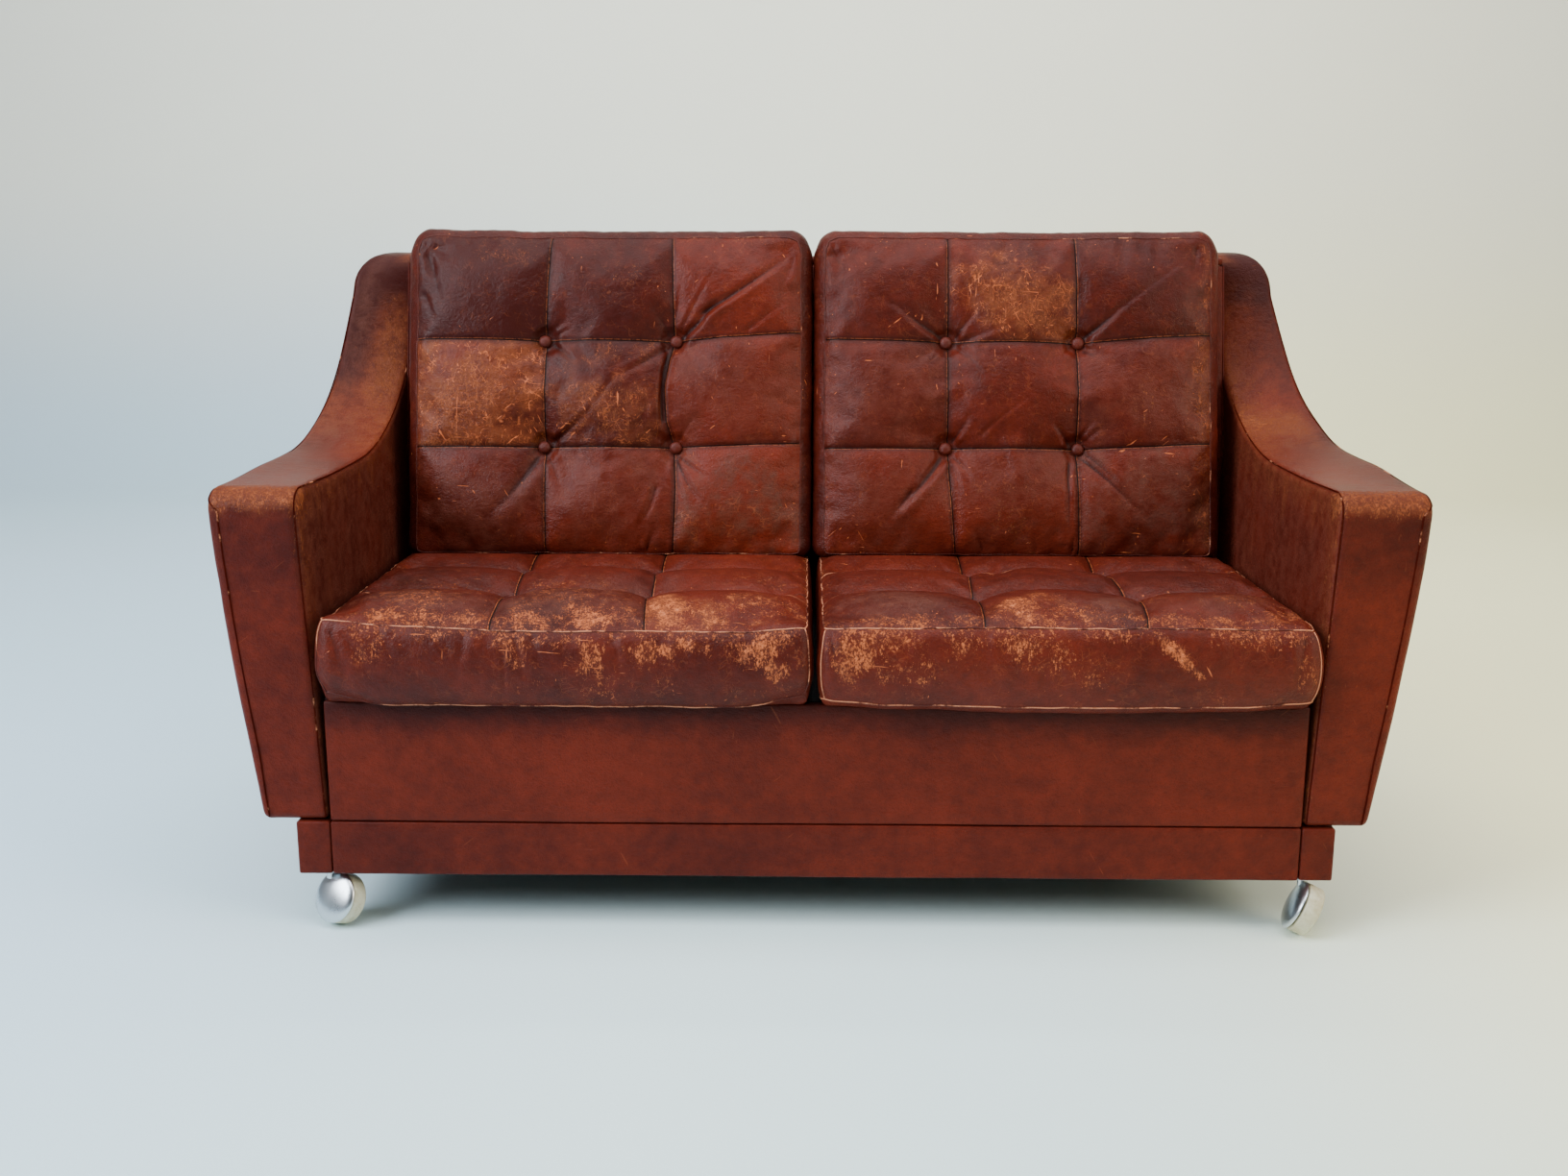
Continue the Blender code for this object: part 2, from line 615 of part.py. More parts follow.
def main():
    clear_scene()
    home = new_collection("Leather sofa")
    cutters = new_collection("Cutters")
    leather = material("Oxblood leather", (0.17, 0.035, 0.018), 0.42)
    timber = material("Beech timber", (0.55, 0.38, 0.22), 0.6)
    cloth = material("Black lining cloth", (0.03, 0.03, 0.032), 0.9)
    chrome = material("Chromed steel", (0.75, 0.75, 0.76), 0.12, 1.0)
    steel = material("Zinc-plated steel", (0.5, 0.5, 0.5), 0.35, 1.0)
    nylon = material("Cream nylon", (0.62, 0.57, 0.42), 0.45)
    build_arms(leather, timber, home, cutters)
    build_base(leather, timber, cloth, home, cutters)
    build_back(leather, timber, home)
    build_cushions(leather, home)
    for word, side, end, heading in CASTORS:
        castor(word, side, end, heading, (chrome, nylon, steel), home, cutters)


if __name__ == "__main__":
    main()
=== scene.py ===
"""Worn two-seat leather sofa: leather, padding, seams and castors modelled around its fixed frame.

Metres, +Z up, the front facing -Y. Cushion maps and folds are in each cushion's own frame, with x
across it, y from its front or lower end to its other end, and z out of its face, from the seams.
"""

import itertools
import json
import math

import bmesh
import bpy
import numpy as np
from mathutils import Matrix, Vector


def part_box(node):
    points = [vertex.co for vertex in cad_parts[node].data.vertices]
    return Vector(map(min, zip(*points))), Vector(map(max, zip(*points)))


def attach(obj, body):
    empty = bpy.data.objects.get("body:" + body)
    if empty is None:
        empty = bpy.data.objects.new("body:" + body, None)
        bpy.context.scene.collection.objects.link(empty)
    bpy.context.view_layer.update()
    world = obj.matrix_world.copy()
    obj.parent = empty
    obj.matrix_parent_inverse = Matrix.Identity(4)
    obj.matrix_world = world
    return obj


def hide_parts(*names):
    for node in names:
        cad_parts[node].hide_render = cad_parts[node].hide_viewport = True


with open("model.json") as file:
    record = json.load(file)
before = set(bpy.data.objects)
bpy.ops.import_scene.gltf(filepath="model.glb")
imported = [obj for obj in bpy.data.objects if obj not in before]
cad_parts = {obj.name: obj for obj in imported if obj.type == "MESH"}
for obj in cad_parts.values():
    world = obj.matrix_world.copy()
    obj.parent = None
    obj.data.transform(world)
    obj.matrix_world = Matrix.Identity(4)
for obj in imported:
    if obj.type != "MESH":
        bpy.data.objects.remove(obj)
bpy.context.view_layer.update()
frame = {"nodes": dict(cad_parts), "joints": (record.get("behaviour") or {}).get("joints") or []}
ROLLS = {joint["child"].replace("castor_roller_", ""): joint
         for joint in frame["joints"] if joint["child"].startswith("castor_roller_")}
SWIVELS = {joint["child"].replace("castor_swivel_", ""): joint
           for joint in frame["joints"] if joint["child"].startswith("castor_swivel_")}

bl_info = {
    "name": "Worn leather sofa",
    "version": (1, 0, 0),
    "blender": (4, 5, 0),
    "location": "View3D > Sidebar > Sofa",
    "description": "Builds the leather, cushions, seams and castors of a worn two-seat sofa",
    "category": "Add Mesh",
}

WORDS = {"left": -1, "right": 1}
MM = 0.001
MERGE = 1e-6  # how close two points are when they count as one


# ---------------------------------------------------------------- settings


def length(label, tip, metres):
    return bpy.props.FloatProperty(
        name=label, description=tip, default=metres, unit="LENGTH", precision=4)


def colour(label, tip, value):
    return bpy.props.FloatVectorProperty(
        name=label, description=tip, default=value, subtype="COLOR", min=0, max=1)


class SofaSizes(bpy.types.PropertyGroup):
    cell: length("Cushion mesh", "Side of one cell of a cushion's mesh before it is refined", 0.0052)
    seat_thick: length("Seat thickness", "Height of a seat cushion between its seams", 0.104)
    back_thick: length("Back thickness", "Depth of a back cushion between its seams", 0.105)
    button_rise: length("Button rise", "From a back cushion's seam plane to its buttons' middles", 0.0026)
    welt: length("Welt radius", "Radius of the raised edge along the cushions' seams", 0.0009)
    arm_welt: length("Arm welt radius", "Radius of the raised edge along the arms' seams", 0.0010)
    groove: length("Seam groove", "Depth of the groove along a flat seam", 0.0016)
    arm_round: length("Arm rounding", "Radius of the arms' padded edges", 0.011)
    hood_radius: length("Hood radius", "Radius of a castor's hood at its rim", 0.033)
    wheel_radius: length("Wheel radius", "Radius of a castor's wheel", 0.0325)
    wheel_half: length("Half wheel width", "Half the width of a castor's wheel", 0.011)


class SofaColours(bpy.types.PropertyGroup):
    dark: colour("Oxblood", "The darkest leather", (0.036, 0.0042, 0.0026))
    warm: colour("Red brown", "The common leather", (0.142, 0.0158, 0.0060))
    tan: colour("Tan", "Where the finish has worn off", (0.43, 0.108, 0.036))
    pale: colour("Pale tan", "The most worn edges", (0.64, 0.29, 0.17))
    # The dull brown is grime in places, and elsewhere a painted sheen where light would reflect
    dull: colour("Dull brown", "Where grime has greyed the leather", (0.095, 0.030, 0.020))
    floor: colour("Floor", "The pale floor and backdrop", (0.74, 0.92, 0.93))


def sizes():
    return bpy.context.scene.sofa_sizes


def colours():
    return bpy.context.scene.sofa_colours


# ---------------------------------------------------------------- numbers


def smoothstep(value, low, high):
    t = np.clip((value - low) / (high - low), 0, 1)
    return t * t * (3 - 2 * t)


def bump_at(value, centre, width):
    return np.exp(-(((value - centre) / width) ** 2))


def noise_at(points, size, seed):
    """Smooth noise from -1 to 1, with features of the given size."""
    table = np.random.RandomState(seed).rand(16, 16, 16)
    place = points / size + 100.0
    base = np.floor(place).astype(int)
    part = place - base
    part = part * part * (3 - 2 * part)
    total = np.zeros(len(points))
    for corner in itertools.product((0, 1), repeat=3):
        weight = np.prod(np.where(corner, part, 1 - part), axis=1)
        cell = (base + corner) % 16
        total += weight * table[cell[:, 0], cell[:, 1], cell[:, 2]]
    return total * 2 - 1


def patches(points, spots, panel=None):
    """A mask of ragged soft patches: (x, y, half width, half height, turn in degrees, strength),
    with the number of the panel that a patch keeps to, if it does."""
    total = np.zeros(len(points))
    flat = np.column_stack([points, np.zeros(len(points))])
    ragged = sum(share * noise_at(flat, size, seed)
                 for share, size, seed in ((0.45, 0.030, 31), (0.30, 0.011, 32), (0.15, 0.005, 33)))
    for x, y, wide, high, turn, strength, *only in spots:
        c, s = math.cos(math.radians(turn)), math.sin(math.radians(turn))
        dx, dy = points[:, 0] - x * MM, points[:, 1] - y * MM
        along = (dx * c + dy * s) / (wide * MM)
        across = (dy * c - dx * s) / (high * MM)
        spot = strength * smoothstep(ragged - np.sqrt(along**2 + across**2), -1.25, 0.0)
        total = np.maximum(total, spot * (panel == only[0]) if only else spot)
    return total


# ---------------------------------------------------------------- meshes


def read(mesh):
    values = np.empty(len(mesh.vertices) * 3)
    mesh.vertices.foreach_get("co", values)
    return values.reshape(-1, 3)


def write(mesh, points):
    mesh.vertices.foreach_set("co", np.asarray(points, dtype=np.float64).ravel())
    mesh.update()


def normals(mesh):
    values = np.empty(len(mesh.vertices) * 3)
    mesh.vertices.foreach_get("normal", values)
    return values.reshape(-1, 3)


def paint(mesh, **layers):
    """Stores numbers for the materials: for each vertex, or one for all of them."""
    for name, values in layers.items():
        layer = mesh.attributes.get(name) or mesh.attributes.new(name, "FLOAT", "POINT")
        layer.data.foreach_set("value", np.full(len(layer.data), values, dtype=np.float32))


def store(mesh, name, points):
    layer = mesh.attributes.new(name, "FLOAT_VECTOR", "POINT")
    layer.data.foreach_set("vector", np.asarray(points, dtype=np.float32).ravel())


def stored(mesh, name):
    values = np.empty(len(mesh.vertices) * 3, dtype=np.float32)
    mesh.attributes[name].data.foreach_get("vector", values)
    return values.reshape(-1, 3).astype(float)


def new_piece(name, made, finish, body="sofa", replaced=()):
    """A finished piece from a bmesh or a mesh: shaded, given its finish and ridden on its body."""
    if isinstance(made, bmesh.types.BMesh):
        bmesh.ops.recalc_face_normals(made, faces=made.faces)
        mesh = bpy.data.meshes.new(name)
        made.to_mesh(mesh)
        made.free()
    else:
        mesh = made
    mesh.shade_smooth()
    obj = bpy.data.objects.new(name, mesh)
    bpy.context.scene.collection.objects.link(obj)
    obj.data.materials.clear()
    obj.data.materials.append(finish)
    if body:
        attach(obj, body)
    for node in replaced:
        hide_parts(node)
    return obj


def shaped(obj):
    """A new mesh of an object as its modifiers shape it."""
    return bpy.data.meshes.new_from_object(obj.evaluated_get(bpy.context.evaluated_depsgraph_get()))


def apply(obj, modifier):
    """Gives an object the mesh that a modifier makes, and removes the modifier."""
    mesh = shaped(obj)
    obj.modifiers.remove(modifier)
    old, obj.data = obj.data, mesh
    bpy.data.meshes.remove(old)
    mesh.shade_smooth()


def prism(outline, x, thick):
    """A closed block: an outline of (y, z) points at one x, drawn out along x."""
    made = bmesh.new()
    face = made.faces.new([made.verts.new((x, y, z)) for y, z in outline])
    moved = bmesh.ops.extrude_face_region(made, geom=[face], use_keep_orig=True)["geom"]
    bmesh.ops.translate(made, vec=(thick, 0, 0), verts=verts_of(moved))
    bmesh.ops.recalc_face_normals(made, faces=made.faces)
    return made


def verts_of(parts):
    return [part for part in parts if isinstance(part, bmesh.types.BMVert)]


def spun(profile, place, steps=48):
    """A turned shape from (radius, height) pairs, set in place."""
    made = bmesh.new()
    verts = [made.verts.new((radius, 0, height)) for radius, height in profile]
    edges = [made.edges.new(pair) for pair in zip(verts, verts[1:])]
    if profile[0][0] > 0 and profile[-1][0] > 0:
        edges.append(made.edges.new((verts[-1], verts[0])))
    bmesh.ops.spin(made, geom=verts + edges, cent=(0, 0, 0), axis=(0, 0, 1), dvec=(0, 0, 0),
                   angle=math.tau, steps=steps, use_merge=True, use_duplicate=False)
    bmesh.ops.remove_doubles(made, verts=made.verts, dist=MERGE)
    bmesh.ops.transform(made, matrix=place, verts=made.verts)
    return made


def tube(name, points, radius, finish, closed=False):
    """A round cord of leather along a list of points, as a closed mesh."""
    curve = bpy.data.curves.new(name, "CURVE")
    curve.dimensions = "3D"
    curve.bevel_depth = radius
    curve.bevel_resolution = 3
    curve.use_fill_caps = not closed
    line = curve.splines.new("POLY")
    line.points.add(len(points) - 1)
    for point, place in zip(line.points, points):
        point.co = (*place, 1)
    line.use_cyclic_u = closed
    guide = bpy.data.objects.new(name + "_guide", curve)
    bpy.context.scene.collection.objects.link(guide)
    mesh = shaped(guide)
    bpy.data.objects.remove(guide)
    made = bmesh.new()
    made.from_mesh(mesh)
    bpy.data.meshes.remove(mesh)
    bmesh.ops.remove_doubles(made, verts=made.verts, dist=MERGE)
    return new_piece(name, made, finish=finish)


# ---------------------------------------------------------------- material nodes


class Value:
    """A number in a material, from a socket, that is added, multiplied and compared like any other."""

    def __init__(self, socket):
        self.socket, self.tree = socket, socket.id_data

    def maths(self, operation, other=0.0):
        return Value(node(self.tree, "Math", {0: self, 1: other}, operation=operation).outputs[0])

    def __add__(self, other):
        return self.maths("ADD", other)

    def __radd__(self, number):
        return Value(node(self.tree, "Math", {0: number, 1: self}, operation="ADD").outputs[0])

    def __sub__(self, other):
        return self.maths("SUBTRACT", other)

    def __mul__(self, other):
        return self.maths("MULTIPLY", other)

    def __abs__(self):
        return self.maths("ABSOLUTE")

    def least(self, other):
        return self.maths("MINIMUM", other)

    def most(self, other):
        return self.maths("MAXIMUM", other)

    def ramp(self, low, high, bottom=0.0, top=1.0):
        """A smooth step of the value between two levels."""
        levels = {"Value": self, "From Min": low, "From Max": high, "To Min": bottom, "To Max": top}
        return Value(node(self.tree, "MapRange", levels, interpolation_type="SMOOTHSTEP").outputs["Result"])


def connect(tree, value, socket):
    """Gives a socket a number, a colour, another node's output or a value."""
    value = value.socket if isinstance(value, Value) else value
    if isinstance(value, bpy.types.NodeSocket):
        tree.links.new(value, socket)
    else:
        socket.default_value = value


def node(tree, kind, sockets=None, **settings):
    made = tree.nodes.new("ShaderNode" + kind)
    for key, value in settings.items():
        setattr(made, key, value)
    for key, value in (sockets or {}).items():
        connect(tree, value, made.inputs[key])
    return made


def mixed(tree, share, first, second):
    """A colour between two others; a plain colour is given as (red, green, blue)."""
    made = node(tree, "Mix", {0: share}, data_type="RGBA")
    for index, shade in ((6, first), (7, second)):
        plain = not isinstance(shade, bpy.types.NodeSocket)
        connect(tree, (*shade[:3], 1.0) if plain else shade, made.inputs[index])
    return made.outputs[2]


def times(shade, factor):
    return [channel * factor for channel in shade]


def noise_node(tree, place, scale, detail=2.0, roughness=0.5, distortion=0.0):
    made = node(tree, "TexNoise", {"Vector": place, "Scale": scale, "Detail": detail,
                                   "Roughness": roughness, "Distortion": distortion})
    return Value(made.outputs["Fac"])


def cell_noise(tree, place, scale, feature="F1"):
    """Distances in a texture of cells: from their middles, or from their edges."""
    made = node(tree, "TexVoronoi", {"Vector": place, "Scale": scale}, feature=feature)
    return Value(made.outputs["Distance"])


def mapped(tree, place, scale=(1, 1, 1), turn=(0, 0, 0)):
    return node(tree, "Mapping", {"Vector": place, "Scale": scale, "Rotation": turn}).outputs[0]


def attribute(tree, name):
    return Value(node(tree, "Attribute", attribute_name=name, attribute_type="GEOMETRY").outputs["Fac"])


def new_material(name):
    """A new material, with its node tree, its surface shader and the place on the object."""
    made = bpy.data.materials.new(name)
    made.use_nodes = True
    tree = made.node_tree
    return made, tree, tree.nodes["Principled BSDF"], node(tree, "TexCoord").outputs["Object"]


def set_surface(tree, shader, sockets):
    for key, value in sockets.items():
        connect(tree, value, shader.inputs[key])


def bumped(tree, height, distance, strength, before=None):
    made = node(tree, "Bump", {"Height": height, "Distance": distance, "Strength": strength})
    if before is not None:
        tree.links.new(before, made.inputs["Normal"])
    return made.outputs["Normal"]


def scratch_lines(tree, place, share):
    """Short straight scratches in four directions, gathered in places and where share is high."""
    found = None
    for turn, scale in (((0.0, 0.5, 0.0), 290.0), ((0.0, -0.9, 0.3), 340.0), ((0.2, 0.0, 0.8), 320.0),
                        ((0.0, 1.5, 0.0), 360.0)):
        turned = mapped(tree, place, turn=turn)
        line = noise_node(tree, mapped(tree, turned, (1.0, 1.0, 0.06)), scale, 1.0)
        line = line + noise_node(tree, turned, 13.0, 3.0, 0.6) * 0.55
        line = (line + share * 0.055).ramp(1.085, 1.14)
        found = found.most(line) if found else line
    return found


def scuff_lines(tree, place):
    """Fine curved scuffs, broken into short runs: thin bands of a soft noise."""
    found = None
    for scale, turn in ((30.0, (0.3, 0.0, 0.0)), (52.0, (1.1, 0.4, 0.0)), (40.0, (0.0, 2.0, 0.7)),
                        (44.0, (2.2, 0.9, 0.3))):
        field = noise_node(tree, mapped(tree, place, turn=turn), scale, 1.0, 0.4, 0.9)
        line = abs(field - 0.5).ramp(0.002, 0.011, 1.0, 0.0)
        found = found.most(line) if found else line
    return found * noise_node(tree, place, 48.0, 4.0, 0.7).ramp(0.47, 0.58)


def leather(name, bared, gloss, shine, streaks=1.0, coat=0.1, seamed=False, thread=0.7, hollow_seams=0.6):
    """Aged, finished leather. It reads these numbers from the mesh, each 0 where there is none:
    wear (bare flecks), fade (a smooth tan fade), the grey of grime and painted sheen, tone (-1 to 1),
    the painted shade in the valleys of creases, and rub (a pale edge). On seamed leather, seam_x
    and seam_y are the signed distances from the nearest flat seams, in centimetres."""
    made, tree, shader, place = new_material(name)
    shades = colours()
    wear, dull, tone, crease, rub, fade = (
        attribute(tree, word) for word in ("wear", "dull", "tone", "crease", "rub", "fade"))

    # Colour of the hide, in large soft clouds
    clouds = noise_node(tree, place, 5.5, 4.0, 0.6)
    mottle = noise_node(tree, place, 52.0, 5.0, 0.7)
    depth = clouds * 0.65 + mottle * 0.55 + tone * 0.42
    shade = mixed(tree, depth.ramp(0.22, 0.98), shades.dark, shades.warm)
    # A grey-brown over the hide: grime in places, a painted sheen in others
    shade = mixed(tree, dull * mottle.ramp(0.25, 0.7), shade, shades.dull)
    shade = mixed(tree, fade * mottle.ramp(0.32, 0.64, 0.25, 1.0), shade, times(shades.tan, 0.43))

    # Grain: rounded cells with fine creases between them
    cells = cell_noise(tree, mapped(tree, place, (1, 1, 1.15)), 620.0)
    wide_cells = cell_noise(tree, place, 210.0)
    fine = noise_node(tree, place, 900.0, 2.0)
    shade = mixed(tree, cells.ramp(0.45, 0.95, 0.0, 0.35), shade, shades.dark)

    scratches = scratch_lines(tree, place, wear + fade * 1.5) * streaks
    shade = mixed(tree, scratches * 0.80, shade, times(shades.tan, 1.35))
    if streaks:
        scuffs = (fade * 0.80 + wear * 0.28 + 0.07) * scuff_lines(tree, place)
        shade = mixed(tree, scuffs * streaks, shade, times(shades.tan, 1.25))

    # Wear: crisp flecks that gather into bare tan hide, with dark hide and cracks left among them
    streaked = mapped(tree, place, (1.0, 1.0, 0.55))
    flecks = noise_node(tree, streaked, 430.0, 4.0, 0.8)
    clusters = noise_node(tree, streaked, 120.0, 4.0, 0.7, 0.5)
    level = flecks * 0.60 + clusters * 0.40 + wear * 0.14
    bare = level.ramp(0.585, 0.612) * wear.ramp(0.02, 0.15)
    shade = mixed(tree, wear.ramp(0.2, 1.1, 0.0, 0.6), shade, (0.100, 0.022, 0.010))
    cracks = cell_noise(tree, place, 240.0, "DISTANCE_TO_EDGE").ramp(0.01, 0.09, 1.0, 0.0)
    cracks = cracks * flecks.ramp(0.42, 0.56)
    hide = mixed(tree, level.ramp(0.600, 0.680), times(shades.tan, 0.55 * bared), times(shades.tan, bared))
    hide = mixed(tree, level.ramp(0.695, 0.80, 0.0, 0.8), hide, times(shades.pale, bared))
    hide = mixed(tree, cracks * 0.5, hide, times(shades.tan, 0.25))
    shade = mixed(tree, bare * 0.92, shade, hide)

    # Painted shade darkens the valleys of creases, rubbed edges go pale, and a seam is a dark line
    shade = mixed(tree, crease.ramp(0.05, 0.9, 0.0, 0.8), shade, (0.016, 0.003, 0.003))
    ragged = noise_node(tree, place, 260.0, 3.0, 0.7)
    pale_edge = (rub + ragged * 0.5).ramp(0.66, 0.88) * rub.ramp(0.02, 0.2, 0.0, 0.85)
    shade = mixed(tree, pale_edge, shade, mixed(tree, ragged, shades.tan, shades.pale))
    hollow = (scratches + bare * 0.5) * -0.35
    if seamed:
        shade, gap = seam_lines(tree, shade, ragged, thread, hollow_seams)
        hollow = hollow - gap

    wrinkles = noise_node(tree, mapped(tree, place, (1.0, 1.0, 1.6)), 70.0, 4.0, 0.6)
    normal = bumped(tree, wrinkles, 0.0018, 0.6)
    normal = bumped(tree, cells * -0.6 + fine * 0.25 + wide_cells * -0.5, 0.0007, 0.85, normal)
    normal = bumped(tree, hollow, 0.0008, 0.9, normal)
    set_surface(tree, shader, {
        "Base Color": shade, "Roughness": gloss + mottle * 0.16 + bare * 0.26 + dull * 0.12,
        "Specular IOR Level": shine, "Coat Weight": coat, "Coat Roughness": 0.15,
        "Normal": normal, "Coat Normal": normal})
    return made


def seam_lines(tree, shade, ragged, thread, reach):
    """Draws the butt seams of a cushion: a dark line, a painted shade that spreads out from it,
    and beside it a broken tan line that is partly worn edge and partly painted highlight.
    """
    offs = [attribute(tree, word) for word in ("seam_x", "seam_y")]
    nearest = abs(offs[0]).least(abs(offs[1]))
    beside = abs(offs[0] - 0.16).least(abs(offs[1] - 0.16))
    gap = (nearest + ragged * 0.04).ramp(0.06, 0.13, 1.0, 0.0)
    # Painted shade, darkest by the seam and fading out over the given reach
    shade = mixed(tree, nearest.ramp(0.10, reach, 0.55, 0.0), shade, (0.020, 0.003, 0.002))
    # Beside the seam: a broken tan line, partly worn edge and partly painted highlight
    tan_wear_and_highlight = beside.ramp(0.02, 0.08, thread, 0.0) * ragged.ramp(0.38, 0.56)
    shade = mixed(tree, tan_wear_and_highlight, shade, colours().tan)
    return mixed(tree, gap, shade, (0.005, 0.001, 0.001)), gap


def metal(name, shade, roughness, grime):
    made, tree, shader, place = new_material(name)
    haze = noise_node(tree, place, 60.0, 3.0, 0.6)
    dirt = noise_node(tree, place, 420.0, 4.0, 0.7).ramp(0.58, 0.75) * grime
    set_surface(tree, shader, {
        "Base Color": mixed(tree, dirt, shade, (0.20, 0.15, 0.10)), "Metallic": 1.0,
        "Roughness": roughness + haze * 0.10 + dirt * 0.4, "Normal": bumped(tree, haze, 0.0002, 0.3)})
    return made


def moulded(name, shade, aged):
    """Cream nylon, yellowed and scuffed."""
    made, tree, shader, place = new_material(name)
    clouds = noise_node(tree, place, 70.0, 4.0, 0.6)
    scuffs = noise_node(tree, mapped(tree, place, (1, 1, 3)), 300.0, 3.0, 0.7).ramp(0.55, 0.7)
    tone = mixed(tree, clouds.ramp(0.3, 0.7), shade, aged)
    set_surface(tree, shader, {
        "Base Color": mixed(tree, scuffs * 0.35, tone, times(aged, 0.45)),
        "Roughness": 0.42 + scuffs * 0.2, "Normal": bumped(tree, scuffs, 0.0002, 0.5)})
    return made


def timber(name, pale, dark):
    made, tree, shader, place = new_material(name)
    figure = noise_node(tree, mapped(tree, place, (30.0, 3.0, 30.0)), 1.0, 5.0, 0.6, 0.6)
    pores = noise_node(tree, mapped(tree, place, (700.0, 40.0, 700.0)), 1.0, 2.0).ramp(0.6, 0.7)
    set_surface(tree, shader, {
        "Base Color": mixed(tree, pores * 0.4, mixed(tree, figure, pale, dark), times(dark, 0.4)),
        "Roughness": 0.62, "Normal": bumped(tree, figure, 0.0004, 0.6)})
    return made


def woven(name, shade):
    """Thin black lining cloth, woven in fine crossing threads."""
    made, tree, shader, place = new_material(name)
    threads = None
    for turn in ((0, 0, 0), (0, 0, math.pi / 2), (math.pi / 2, 0, 0)):
        wave = Value(node(tree, "TexWave", {"Vector": mapped(tree, place, (1, 1, 1), turn), "Scale": 160.0,
                                            "Distortion": 0.4}).outputs["Fac"])
        threads = threads * wave if threads else wave
    lint = noise_node(tree, place, 90.0, 4.0, 0.7).ramp(0.55, 0.8)
    tone = mixed(tree, threads, shade, times(shade, 2.2))
    set_surface(tree, shader, {
        "Base Color": mixed(tree, lint * 0.3, tone, (0.16, 0.15, 0.14)),
        "Roughness": 0.92, "Normal": bumped(tree, threads, 0.0003, 0.8)})
    return made


FINISHES = {
    "cushion_leather": (leather, {"bared": 0.60, "gloss": 0.28, "shine": 0.10, "coat": 0.08,
                                  "seamed": True, "thread": 0.42, "hollow_seams": 0.9}),
    "seat_leather": (leather, {"bared": 1.15, "gloss": 0.35, "shine": 0.11, "coat": 0.08, "seamed": True}),
    "frame_leather": (leather, {"bared": 0.56, "gloss": 0.38, "shine": 0.09, "coat": 0.05,
                                "streaks": 0.12}),
    "welt_leather": (leather, {"bared": 0.85, "gloss": 0.44, "shine": 0.20, "streaks": 0.0}),
    "dark_welt_leather": (leather, {"bared": 0.85, "gloss": 0.50, "shine": 0.0, "coat": 0.0,
                                    "streaks": 0.0}),
    "chrome_plate": (metal, {"shade": (0.60, 0.62, 0.64), "roughness": 0.24, "grime": 0.4}),
    "zinc_plate": (metal, {"shade": (0.50, 0.52, 0.54), "roughness": 0.34, "grime": 0.8}),
    "cream_nylon": (moulded, {"shade": (0.62, 0.58, 0.42), "aged": (0.46, 0.40, 0.24)}),
    "frame_timber": (timber, {"pale": (0.42, 0.26, 0.13), "dark": (0.26, 0.14, 0.06)}),
    "black_lining": (woven, {"shade": (0.012, 0.012, 0.013)}),
}


def finish(name):
    """A material by its name, made when it is first asked for."""
    maker, settings = FINISHES[name]
    return bpy.data.materials.get(name) or maker(name, **settings)
